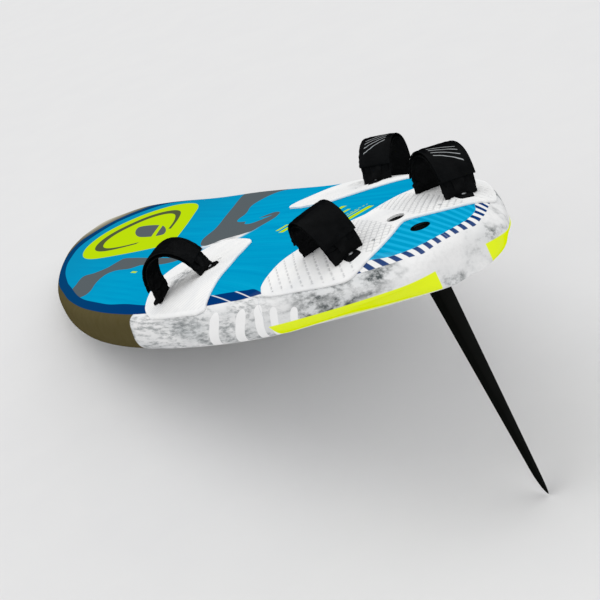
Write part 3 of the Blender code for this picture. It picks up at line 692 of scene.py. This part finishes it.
def cubic(t, start, start_slope, end, end_slope):
    """Cubic from start to end, with slopes scaled to the span."""
    return ((2 * t ** 3 - 3 * t ** 2 + 1) * start + (t ** 3 - 2 * t ** 2 + t) * start_slope
            + (3 * t ** 2 - 2 * t ** 3) * end + (t ** 3 - t ** 2) * end_slope)


def slope_at(points, j):
    """Slope through the neighbours of a table's point."""
    low, high = points[max(j - 1, 0)], points[min(j + 1, len(points) - 1)]
    return (high[1] - low[1]) / (high[0] - low[0])


def hermite(points, counts, first_slope=None, last_slope=None):
    """Smooth curve through points, with a number of samples for each span."""
    points = [Vector(p) for p in points]
    gaps = [(b - a).length for a, b in zip(points, points[1:])]
    slopes = []
    for i, point in enumerate(points):
        if i == 0:
            slope = Vector(first_slope) if first_slope else (points[1] - point) / gaps[0]
        elif i == len(points) - 1:
            slope = Vector(last_slope) if last_slope else (point - points[i - 1]) / gaps[-1]
        else:
            back, ahead = gaps[i - 1], gaps[i]
            slope = ((point - points[i - 1]) / back * ahead + (points[i + 1] - point) / ahead * back)
            slope /= back + ahead
        slopes.append(slope)
    result = [points[0]]
    for i, count in enumerate(counts):
        for step in range(1, count + 1):
            result.append(cubic(step / count, points[i], gaps[i] * slopes[i],
                                points[i + 1], gaps[i] * slopes[i + 1]))
    return result


def superellipse(angle):
    """Point of a flat rounded-rectangle outline, 1 wide and 1 high to each side."""
    c, s = math.cos(angle), math.sin(angle)
    return math.copysign(abs(c) ** 0.55, c), math.copysign(abs(s) ** 0.75, s)


# ---------------------------------------------------------------- hull

def bezier(points, t):
    a, b, c, d = points
    s = 1.0 - t
    weights = (s * s * s, 3 * s * s * t, 3 * s * t * t, t * t * t)
    return tuple(sum(w * p[i] for w, p in zip(weights, (a, b, c, d))) for i in (0, 1))


def outline_stations():
    """(distance from the tail, half-width) pairs, dense enough to look smooth."""
    corner = ((0.0, TRANSOM_HALF), (0.0, 0.085), (0.012, 0.1016), (CORNER_LENGTH, CORNER_HALF))
    pull, spread = TAIL_FULLNESS
    tail = ((CORNER_LENGTH, CORNER_HALF),
            (CORNER_LENGTH + pull * (WIDE_POINT - CORNER_LENGTH),
             CORNER_HALF + spread * (HALF_WIDTH - CORNER_HALF)),
            (0.55 * WIDE_POINT, HALF_WIDTH),
            (WIDE_POINT, HALF_WIDTH))
    reach, blunt = NOSE_FULLNESS
    nose = ((WIDE_POINT, HALF_WIDTH),
            (WIDE_POINT + reach * (BOARD_LENGTH - WIDE_POINT), HALF_WIDTH),
            (BOARD_LENGTH, blunt * HALF_WIDTH),
            (BOARD_LENGTH, 0.0))
    stations = [bezier(corner, (i / 24) ** 1.5) for i in range(24)]
    stations += [bezier(tail, i / 64) for i in range(64)]
    stations += [bezier(nose, i / 70) for i in range(70)]
    return stations


def thickness(x):
    share = min(max(x / BOARD_LENGTH, 0.0), 1.0)
    last = len(THICKNESS) - 1
    i = min(max(j for j in range(last + 1) if THICKNESS[j][0] <= share), last - 1)
    (x0, y0), (x1, y1) = THICKNESS[i], THICKNESS[i + 1]
    span = x1 - x0
    return cubic((share - x0) / span, y0, span * slope_at(THICKNESS, i),
                 y1, span * slope_at(THICKNESS, i + 1))


def rocker(x):
    share = max(x / BOARD_LENGTH - ROCKER_START, 0.0) / (1.0 - ROCKER_START)
    return NOSE_LIFT * share ** ROCKER_POWER


def end_roll(x):
    """How far the deck has rolled down towards the rail apex near the two ends."""
    for distance, (length, drop) in ((x, TAIL_ROLL), (BOARD_LENGTH - x, NOSE_ROLL)):
        if distance < length:
            past = 1.0 - distance / length
            return drop * (1.0 - math.sqrt(max(1.0 - past * past, 0.0)))
    return 0.0


def half_sections(x, half):
    """Fine lower and upper halves of a cross-section, as lists of (y, z) away from the centreline."""
    thick, base = thickness(x), rocker(x)
    nose_share = max(x / BOARD_LENGTH - 0.5, 0.0) / 0.5
    camber = CROWN * thick * (1.0 + (NOSE_CROWN - 1.0) * nose_share)
    tuck = TUCK_LIFT * max(1.0 - x / TUCK_LENGTH, 0.0)
    apex = max(0.33 * thick, tuck + 0.10 * thick)
    lower = [(0.0, 0.0), (0.50, 0.0), (0.88, 0.5 * tuck), (0.965, max(0.08 * thick, tuck)),
             (1.0, apex - RAIL_HALF_BAND), (1.0, apex)]
    upper = [(1.0, apex), (1.0, apex + RAIL_HALF_BAND), (0.985, 0.60 * thick),
             (0.93, thick - 1.15 * camber), (0.75, thick - 0.50 * camber),
             (0.40, thick - 0.12 * camber), (0.0, thick)]
    flatten = 1.0 - end_roll(x) / (thick - apex)
    lower = [(share * half, base + z) for share, z in lower]
    upper = [(share * half, base + apex + (z - apex) * flatten) for share, z in upper]
    bottom = hermite(lower, (6, 6, 4, 5, 1), first_slope=(1.0, 0.0), last_slope=(0.0, 1.0))
    deck = hermite(upper, (1, 6, 7, 10, 10, 10), first_slope=(0.0, 1.0), last_slope=(-1.0, 0.0))
    return bottom, deck


def hull_skin(part):
    """Open surface of the deck or the bottom, from rail apex to rail apex, closed at the transom."""
    bm = bmesh.new()
    rings = []
    for x, half in outline_stations():
        bottom, deck = half_sections(x, half)
        port = deck if part == "deck" else list(reversed(bottom))
        ring = [(p.x, p.y) for p in port] + [(-p.x, p.y) for p in reversed(port[:-1])]
        rings.append([bm.verts.new((x, y, z)) for y, z in ring])
    cap_rings(bm, rings, closed=False)
    centre = BOARD_LENGTH / 2.0
    top = max((f for f in bm.faces if abs(f.calc_center_median().y) < 0.05
               and abs(f.calc_center_median().x - centre) < 0.1), key=lambda f: f.calc_area())
    if (top.normal.z > 0.0) != (part == "deck"):
        bmesh.ops.reverse_faces(bm, faces=bm.faces)
    return bm


def upright(x):
    return Matrix.Translation((x, 0.0, 0.0))


def deck_point(x, y):
    """Point and normal of the fine deck above a place in the plan."""
    point, normal, _, _ = DECK.ray_cast(Vector((x, y, 1.0)), Vector((0.0, 0.0, -1.0)))
    return point, normal


def strap_frames():
    """Each strap's frame, from its lean and open joints."""
    joints = {j["name"]: j for j in frame["joints"]}
    frames = {}
    for place in PLACES:
        for side_name, _ in SIDES:
            name = f"strap_{place}_{side_name}"
            lean = joints[name + "_lean"]
            along = Vector(lean["axis"]).normalized()
            across = Vector(joints[name + "_open"]["axis"]).normalized()
            if across.y < 0.0:
                across.negate()
            up = along.cross(across)
            matrix = Matrix((along, across, up)).transposed().to_4x4()
            matrix.translation = Vector(lean["pos_m"]) - up * LEAN_PIVOT_HEIGHT
            frames[place, side_name] = matrix
    return frames


def spare_holes(bm):
    """Openings over each aft plug's furthest hole, cut square to the pad."""
    for (place, side_name), matrix in STRAPS.items():
        side = dict(SIDES)[side_name]
        spot = matrix @ Matrix.Translation((-SCREW_HALF_SPAN, -side * 2 * PLUG_PITCH, 0.0))
        add_cylinder(bm, spot, SPARE_HOLE_RADIUS, -0.02, 0.01, segments=24)


def build_hull():
    for part, finish in (("deck", hull_paint()), ("bottom", bottom_paint())):
        shell = make_piece(part + "_shell", hull_skin(part), "board", finish)
        solid = shell.modifiers.new("Laminate", "SOLIDIFY")
        solid.thickness = SHELL
        solid.offset = -1.0
        apply_modifiers(shell)
        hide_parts(part + "_skin")
        cutter = bmesh.new()
        if part == "deck":
            for x in BOLT_X.values():
                add_cylinder(cutter, upright(x), RECESS_RADIUS, 0.06, 0.20)
            low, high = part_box("vent_insert")
            add_cylinder(cutter, upright(VENT_X), (high.x - low.x) / 2.0 + 0.0002, 0.10, 0.20)
            spare_holes(cutter)
        else:
            low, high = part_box("fin_box")
            size = (high.x - low.x + 0.0004, high.y - low.y + 0.0004, 0.08)
            bmesh.ops.create_cube(cutter, size=1.0, matrix=Matrix.Translation(
                ((low.x + high.x) / 2.0, 0.0, 0.0)) @ Matrix.Diagonal((*size, 1.0)))
        carve(shell, cutter)
        shell.data.set_sharp_from_angle(angle=SHARP_ANGLE)


def build_core():
    """The foam core, trimmed to stay under the finely modelled skins."""
    bm = bmesh.new()
    rings = []
    for x, half in outline_stations():
        bottom, deck = half_sections(x, half)
        middle = rocker(x) + thickness(x) / 2.0
        shrink = 1.0 - 2.0 * CORE_TRIM / thickness(x)
        inward = max(half - CORE_TRIM, 0.001) / half
        port = bottom + deck[1:]
        ring = [(p.x, p.y) for p in port] + [(-p.x, p.y) for p in reversed(port[1:-1])]
        place = CORE_TRIM + x * (BOARD_LENGTH - 2.0 * CORE_TRIM) / BOARD_LENGTH
        rings.append([bm.verts.new((place, y * inward, middle + (z - middle) * shrink))
                      for y, z in ring])
    cap_rings(bm, rings)
    block = bmesh.new()
    block.from_mesh(frame["nodes"]["foam_core"].data)
    core = make_piece("foam_blank", block, "board", bead_foam())
    carve(core, bm, "INTERSECT")
    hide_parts("foam_core")


# ---------------------------------------------------------------- pads

def edge_at(points, y):
    """Smooth pad edge: x at a distance y from the centreline."""
    for i, (near, far) in enumerate(zip(points, points[1:])):
        if near[0] <= y <= far[0] + 1e-9:
            span = far[0] - near[0]
            limit = 3.0 * abs(far[1] - near[1]) / span
            slopes = (slope_at(points, i), slope_at(points, i + 1))
            m0, m1 = (math.copysign(min(abs(m), limit), m) * span for m in slopes)
            return cubic((y - near[0]) / span, near[1], m0, far[1], m1)
    return points[-1][1]


def soft_groove(distance, half_width):
    """1 on the line, falling to 0 at half_width."""
    return max(0.0, 1.0 - (distance / half_width) ** 2)


def rear_grooves(x, y):
    """Rows of short dashes outboard of the straps, a lattice inboard."""
    beam = abs(y)
    depth = 0.0
    run = x * 0.935 - beam * 0.355
    row = x * 0.355 + beam * 0.935
    if 0.108 < beam and row > 0.165:
        spacing, dash = 0.0185, 0.0125
        offset = (row / spacing) % 1.0
        distance = min(offset, 1.0 - offset) * spacing
        if (run / dash) % 1.0 < 0.68:
            depth = soft_groove(distance, 0.0016)
    elif 0.022 < beam < 0.100:
        for way in (1.0, -1.0):
            lattice = (x + way * 1.25 * y) / 0.019
            offset = lattice % 1.0
            depth = max(depth, soft_groove(min(offset, 1.0 - offset) * 0.019, 0.0022))
    return depth


def front_grooves(x, y):
    """Fine shallow slanted ribs along the pad."""
    beam = abs(y)
    row = (0.69 * x - 0.72 * beam) / 0.0105
    offset = row % 1.0
    return 0.35 * soft_groove(min(offset, 1.0 - offset) * 0.0105, 0.0020)


def pad_bmesh(fore, aft, low_beam, high_beam, grooves, columns, rows, mirror):
    """Foam sheet that follows the deck, with a rounded edge and moulded grooves."""
    border = []
    for i in range(401):
        beam = low_beam + (high_beam - low_beam) * i / 400
        for points in (fore, aft):
            border.append(Vector((edge_at(points, abs(beam)), mirror * beam, 0.0)))
    tree = KDTree(len(border))
    for i, spot in enumerate(border):
        tree.insert(spot, i)
    tree.balance()
    bm = bmesh.new()
    # The groove attribute also greys the grooves in the pad material, as painted shade.
    layer = bm.verts.layers.float.new("groove")
    top, under = [], []
    for i in range(rows + 1):
        share = i / rows
        turn = 0.5 - 0.5 * math.cos(math.pi * share)
        share = 0.35 * turn + 0.65 * share
        beam = low_beam + (high_beam - low_beam) * min(max(share, 0.0005), 0.9995)
        start, stop = edge_at(aft, abs(beam)), edge_at(fore, abs(beam))
        top_row, under_row = [], []
        for j in range(columns + 1):
            part = j / columns
            part = 0.25 * (0.5 - 0.5 * math.cos(math.pi * part)) + 0.75 * part
            x, y = start + (stop - start) * part, mirror * beam
            surface, normal = deck_point(x, y)
            edge = 0.0
            if 0 < i < rows and 0 < j < columns:
                edge = tree.find((x, y, 0.0))[2]
            rounding = min(edge / 0.0030, 1.0)
            height = PAD_THICKNESS * (0.45 + 0.55 * math.sqrt(1.0 - (1.0 - rounding) ** 2))
            groove = grooves(x, y) if edge > 0.006 else 0.0
            height -= 0.0016 * groove
            vert = bm.verts.new(surface + normal * (PAD_GAP + height))
            vert[layer] = groove
            top_row.append(vert)
            under_row.append(bm.verts.new(surface + normal * PAD_GAP))
        top.append(top_row)
        under.append(under_row)
    close_sheet(bm, top, under)
    return bm


def build_pads():
    rear = pad_bmesh(REAR_PAD_FORE, REAR_PAD_AFT, -0.238, 0.238, rear_grooves, 150, 300, 1.0)
    cutter = bmesh.new()
    for x in BOLT_X.values():
        add_cylinder(cutter, upright(x), WELL_RIM - 0.001, 0.06, 0.20)
    spare_holes(cutter)
    pad = make_piece("rear_deck_pad", rear, "board", eva_foam("eva_rear"))
    carve(pad, cutter)
    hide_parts("rear_pad")
    # The front pads get a painted strap shade round this centre, under the front straps.
    front_finish = eva_foam("eva_front", shade=((0.825, 0.235), (0.075, 0.050)))
    for side_name, side in SIDES:
        sheet = pad_bmesh(FRONT_PAD_FORE, FRONT_PAD_AFT, 0.078, 0.3385, front_grooves, 170, 140, side)
        pad = make_piece("front_deck_pad_" + side_name, sheet, "board", front_finish)
        cutter = bmesh.new()
        spare_holes(cutter)
        carve(pad, cutter)
        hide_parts("front_pad_" + side_name)


# ---------------------------------------------------------------- footstraps

def arch_point(theta, offset, height):
    power = 2.0 / ARCH_POWER

    def on_curve(angle):
        c, s = math.cos(angle), math.sin(angle)
        x = ARCH_HALF_SPAN * math.copysign(abs(c) ** power, c)
        return Vector((x, 0.0, height * max(s, 0.0) ** power))

    step = 0.01
    tangent = (on_curve(theta + step) - on_curve(theta - step)).normalized()
    outward = Vector((tangent.z, 0.0, -tangent.x))
    return on_curve(theta) + outward * offset, outward


def arch_start(foot, height):
    return math.asin((foot / height) ** (ARCH_POWER / 2.0))


def padded_band(height, layer, angles, steps, seed, narrow=1.0, crumple=0.0006, hem=0.0):
    """Soft band along the arch: rounded cross-section, hem channels and wrinkles towards its ends.

    The layer is (inner offset, thickness, width); the angles are those of its two ends.
    """
    offset, thick, width = layer
    first, last = angles
    around = 40
    bm = bmesh.new()
    local = bm.verts.layers.float_vector.new("strap_place")
    rings = []
    for i in range(steps + 1):
        share = i / steps
        theta = first + (last - first) * share
        to_end = min(share, 1.0 - share)
        spread = min(1.0, to_end / 0.28)
        spread = spread * spread * (3.0 - 2.0 * spread)
        half = 0.5 * width * (narrow + (1.0 - narrow) * spread)
        close = min(1.0, to_end / 0.02)
        shut = math.sqrt(1.0 - (1.0 - close) ** 2) * 0.85 + 0.15
        middle, outward = arch_point(theta, offset + thick / 2.0, height)
        ring = []
        for j in range(around):
            across, rise = superellipse(2.0 * math.pi * j / around)
            channel = math.exp(-((abs(across) - 0.80) / 0.05) ** 2)
            body = 0.5 * thick * shut * (1.0 - hem * channel) * (0.65 + 0.35 * spread)
            near_end = 1.0 - min(1.0, to_end / 0.22)
            spot = Vector((seed + 34.0 * share, 26.0 * across * half / 0.036, 0.5 * rise))
            wave = noise.noise(spot) * crumple * (1.0 + 3.0 * near_end)
            spot = middle + outward * (rise * body + wave)
            spot.y = across * half + 0.5 * wave
            vert = bm.verts.new(spot)
            vert[local] = spot
            ring.append(vert)
        rings.append(ring)
    cap_rings(bm, rings)
    return bm


def foot_skirt(end, seed):
    """Gathered lower edge of the sleeve, from the pad up into the sleeve."""
    bm = bmesh.new()
    rings = []
    path = hermite(((0.0605, 0.0006), (0.0600, 0.0070), (0.0588, 0.0150), (0.0572, 0.0230)), (6, 6, 6))
    around = 60
    for i, spot in enumerate(path):
        share = i / (len(path) - 1)
        half = 0.0315 + 0.0015 * share
        thick = 0.0036 - 0.0012 * share
        ring = []
        for j in range(around):
            across, rise = superellipse(2.0 * math.pi * j / around)
            across *= half
            folds = noise.noise(Vector((across * 160.0, 3.0 * share, seed)))
            x = spot.x + rise * thick + 0.0032 * folds * (1.0 - 0.5 * share)
            z = max(spot.y + 0.0022 * noise.noise(Vector((across * 90.0, seed, 7.0 * share))), 0.0003)
            ring.append(bm.verts.new((end * x, across, z)))
        rings.append(ring)
    cap_rings(bm, rings)
    return bm


def foot_tab(end, seed):
    """Strap end that lies on the pad over the moulded lug, dimpled round its screw."""
    inner, outer, half_width = 0.0560, 0.0900, 0.0150
    steps, rows = 34, 30
    bm = bmesh.new()
    top, under = [], []
    for i in range(steps + 1):
        u = -1.0 + 2.0 * i / steps
        top_row, under_row = [], []
        for j in range(rows + 1):
            v = -1.0 + 2.0 * j / rows
            x = (inner + outer) / 2.0 + 0.5 * (outer - inner) * u * math.sqrt(1.0 - 0.30 * v * v)
            y = half_width * v * math.sqrt(1.0 - 0.38 * max(u, 0.0) ** 2)
            rim = max(0.0, 1.0 - max(abs(u), abs(v)) ** 5)
            dimple = math.exp(-((x - SCREW_HALF_SPAN) ** 2 + y * y) / 0.0066 ** 2)
            crease = noise.noise(Vector((x * 190.0, y * 240.0, seed)))
            height = (0.0072 - 0.0042 * dimple + 0.0014 * crease) * math.sqrt(rim)
            top_row.append(bm.verts.new((end * x, y, 0.0004 + max(height, 0.0))))
            under_row.append(bm.verts.new((end * x, y, 0.0002)))
        top.append(top_row)
        under.append(under_row)
    close_sheet(bm, top, under)
    return bm


def build_straps():
    plain = neoprene("neoprene_plain")
    lined = {place: neoprene("neoprene_lined_" + place, slant) for place, slant in LINE_SLANT.items()}
    weave = webbing_weave()
    for index, ((place, side_name), matrix) in enumerate(STRAPS.items()):
        name = f"strap_{place}_{side_name}"
        seed = 7.3 * index
        finish = lined[place] if side_name == "starboard" else plain
        height = ARCH_HEIGHT[place]
        low = arch_start(SLEEVE_FOOT, height)
        liner = padded_band(height, SLEEVE, (low, math.pi - low), 90, seed, narrow=0.93, hem=0.35,
                            crumple=0.0009)
        piece = make_piece(name + "_sleeve", liner, name, plain, matrix)
        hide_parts(name + "_liner")
        low = arch_start(CORE_FOOT, height)
        core = padded_band(height, CORE, (low, math.pi - low), 70, seed + 2.0, narrow=0.46,
                           crumple=0.0002)
        piece = make_piece(name + "_core_web", core, name, weave, matrix)
        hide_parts(name + "_webbing")
        cover = padded_band(height, COVER, (COVER_ROOT, COVER_END), 104, seed + 4.0, narrow=0.97,
                            hem=0.45)
        piece = make_piece(name + "_cover", cover, None, finish, matrix)
        bend = [matrix @ arch_point(COVER_HINGE + turn, COVER[0], height)[0] for turn in (-0.09, 0.14)]
        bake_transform(piece)
        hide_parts(name + "_flap")
        for end_name, end in (("fore", 1.0), ("aft", -1.0)):
            skirt = foot_skirt(end, seed + end)
            piece = make_piece(f"{name}_skirt_{end_name}", skirt, None, plain, matrix)
            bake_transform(piece)
            tab = foot_tab(end, seed + 3.0 * end)
            make_piece(f"{name}_tab_{end_name}", tab, "board", plain, matrix)


# ---------------------------------------------------------------- fin

def build_fin(finish):
    """Fine foil loft along the CAD blade's own sizes."""
    low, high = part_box("fin_blade")
    depth = -low.z
    bm = bmesh.new()
    rings = []
    count = 28
    spans = [0.0] + [0.02 * i for i in range(1, 45)] + [0.90 + 0.10 * math.sin(math.pi / 2 * i / 14)
                                                        for i in range(1, 15)]
    for share in spans:
        past = max(share - 0.90, 0.0) / 0.10
        rounding = max(math.sqrt(max(1.0 - past * past, 0.0)), 0.10)
        chord = FIN_CHORD * (1.0 - FIN_TAPER * share) * rounding
        thick = chord * (FIN_FATNESS - 0.02 * share)
        aft = FIN_MIDDLE - FIN_CHORD / 2.0 - FIN_RAKE * share + 0.006 * (1.0 - rounding)
        upper = []
        for i in range(count):
            along = 0.5 * (1.0 - math.cos(math.pi * i / (count - 1)))
            half = 5.0 * thick * (0.2969 * math.sqrt(along) - 0.1260 * along - 0.3516 * along ** 2
                                  + 0.2843 * along ** 3 - 0.1015 * along ** 4)
            upper.append((aft + chord * (1.0 - along), max(half, 0.0) + 0.0003 * along))
        ring = upper + [(x, -y) for x, y in reversed(upper[1:])]
        z = high.z - 0.0003 if share == 0.0 else -0.0003 - depth * share * (1.0 - 0.0003 / depth)
        rings.append([bm.verts.new((x, y, min(z, -0.0003))) for x, y in ring])
    cap_rings(bm, rings)
    blade = make_piece("fin_blade_fine", bm, "fin", finish)
    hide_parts("fin_blade")


# ---------------------------------------------------------------- CAD nodes that stay

def dress_nodes():
    """Procedural materials, and a small bevel, on the CAD nodes that are shown as they are."""
    black = moulded_plastic("black_plastic", tone(24, 25, 26))
    dark = moulded_plastic("dark_plastic", tone(14, 15, 16), rough=0.5)
    steel = brushed_metal("brushed_steel", tone(128, 130, 132))
    brass = brushed_metal("turned_brass", tone(196, 164, 96))
    rubber = moulded_plastic("seal_rubber_looks", tone(18, 18, 19), rough=0.7, grain=0.5)
    looks = (("lug_", black), ("plug_", dark), ("screw_", steel), ("fin_bolt", steel),
             ("fin_washer", steel), ("fin_nut", brass), ("fin_box", dark), ("fin_head", black),
             ("vent_seal", rubber), ("vent_", dark))
    for name, node in frame["nodes"].items():
        for prefix, finish in looks:
            if name.startswith(prefix):
                for slot in node.material_slots:
                    slot.material = finish
                break
        if name.startswith(("lug_", "fin_washer", "screw_", "fin_bolt")):
            bevel = node.modifiers.new("Soft edges", "BEVEL")
            bevel.width = 0.0011 if name.startswith("lug_") else 0.0003
            bevel.segments = 3
            bevel.limit_method = "ANGLE"
            bevel.angle_limit = math.radians(35)


# ---------------------------------------------------------------- studio

def camera_axes():
    heading, rise, roll = CAMERA_TURN
    ahead = Vector((math.cos(rise) * math.cos(heading), math.cos(rise) * math.sin(heading),
                    math.sin(rise)))
    level = ahead.cross(Vector((0.0, 0.0, 1.0))).normalized()
    above = level.cross(ahead)
    right = math.cos(roll) * level + math.sin(roll) * above
    up = -math.sin(roll) * level + math.cos(roll) * above
    return right, up, ahead


def build_camera():
    data = bpy.data.cameras.new("camera")
    data.sensor_width = SENSOR_WIDTH
    data.lens = CAMERA_LENS
    data.clip_end = 100.0
    camera = bpy.data.objects.new("camera", data)
    bpy.context.scene.collection.objects.link(camera)
    right, up, ahead = camera_axes()
    matrix = Matrix((right, up, -ahead)).transposed().to_4x4()
    matrix.translation = Vector(CAMERA_PLACE)
    camera.matrix_world = matrix
    bpy.context.scene.camera = camera


def ground_plane():
    """The board rests on the fin's tip, the underside of the nose and the port rail."""
    low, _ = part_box("fin_blade")
    tip = Vector((0.09, 0.0, low.z))
    best = None
    edge = [(x, half) for x, half in outline_stations() if 0.5 < x < 2.44]
    for nose_x in (2.0, 2.1, 2.2, 2.3, 2.38):
        for x, half in edge:
            nose = Vector((nose_x, 0.0, rocker(nose_x)))
            rail = Vector((x, 0.93 * half, rocker(x)))
            normal = (nose - tip).cross(rail - tip)
            if normal.length < 1e-6:
                continue
            normal.normalize()
            if normal.z < 0.0:
                normal.negate()
            worst = 0.0
            for other_x, other_half in edge[::3]:
                for share in (0.0, 0.6, 0.93):
                    spot = Vector((other_x, share * other_half, rocker(other_x)))
                    worst = min(worst, (spot - tip).dot(normal))
            if best is None or worst > best[0]:
                best = (worst, normal)
    return tip + best[1] * best[0], best[1]


def build_studio():
    tip, normal = ground_plane()
    paint = Paint("pale_floor")
    speck = paint.noise((6.0, 6.0, 6.0), detail=3.0)
    colour = paint.mix(speck, tone(225, 225, 226), tone(229, 229, 229))
    finish = paint.finish(colour, 0.9, specular=0.0)
    hide_below = paint.node("ShaderNodeNewGeometry")
    clear = paint.node("ShaderNodeBsdfTransparent")
    mixer = paint.tree.nodes.new("ShaderNodeMixShader")
    paint.feed(mixer.inputs[0], hide_below.outputs["Backfacing"])
    paint.feed(mixer.inputs[1], paint.shader.outputs[0])
    paint.feed(mixer.inputs[2], clear.outputs[0])
    paint.feed(paint.tree.nodes["Material Output"].inputs[0], mixer.outputs[0])
    bm = bmesh.new()
    turn = normal.to_track_quat("Z", "Y").to_matrix().to_4x4()
    place = Matrix.Translation(tip - normal * 0.002) @ turn
    bmesh.ops.create_grid(bm, x_segments=2, y_segments=2, size=40.0, matrix=place)
    new_object("floor", bm, finish)

    world = bpy.data.worlds.new("studio")
    world.use_nodes = True
    colour, strength = world.node_tree.nodes["Background"].inputs[:2]
    colour.default_value = (1.0, 1.0, 1.0, 1.0)
    strength.default_value = 0.84
    bpy.context.scene.world = world
    right, up, ahead = camera_axes()
    data = bpy.data.lights.new("softbox", "SUN")
    data.energy = 0.62
    data.angle = math.radians(55)
    lamp = bpy.data.objects.new("softbox", data)
    bpy.context.scene.collection.objects.link(lamp)
    from_where = normal * 1.0 + ahead * 0.10 - right * 0.15
    lamp.matrix_world = from_where.to_track_quat("Z", "Y").to_matrix().to_4x4()
    bpy.context.scene.view_settings.view_transform = "Standard"


# ---------------------------------------------------------------- build


STRAPS = strap_frames()
deck_surface = hull_skin("deck")
deck_surface.normal_update()
DECK = BVHTree.FromBMesh(deck_surface)
deck_surface.free()
build_hull()
build_core()
build_pads()
build_straps()
build_fin(laminate())
dress_nodes()
build_camera()
build_studio()
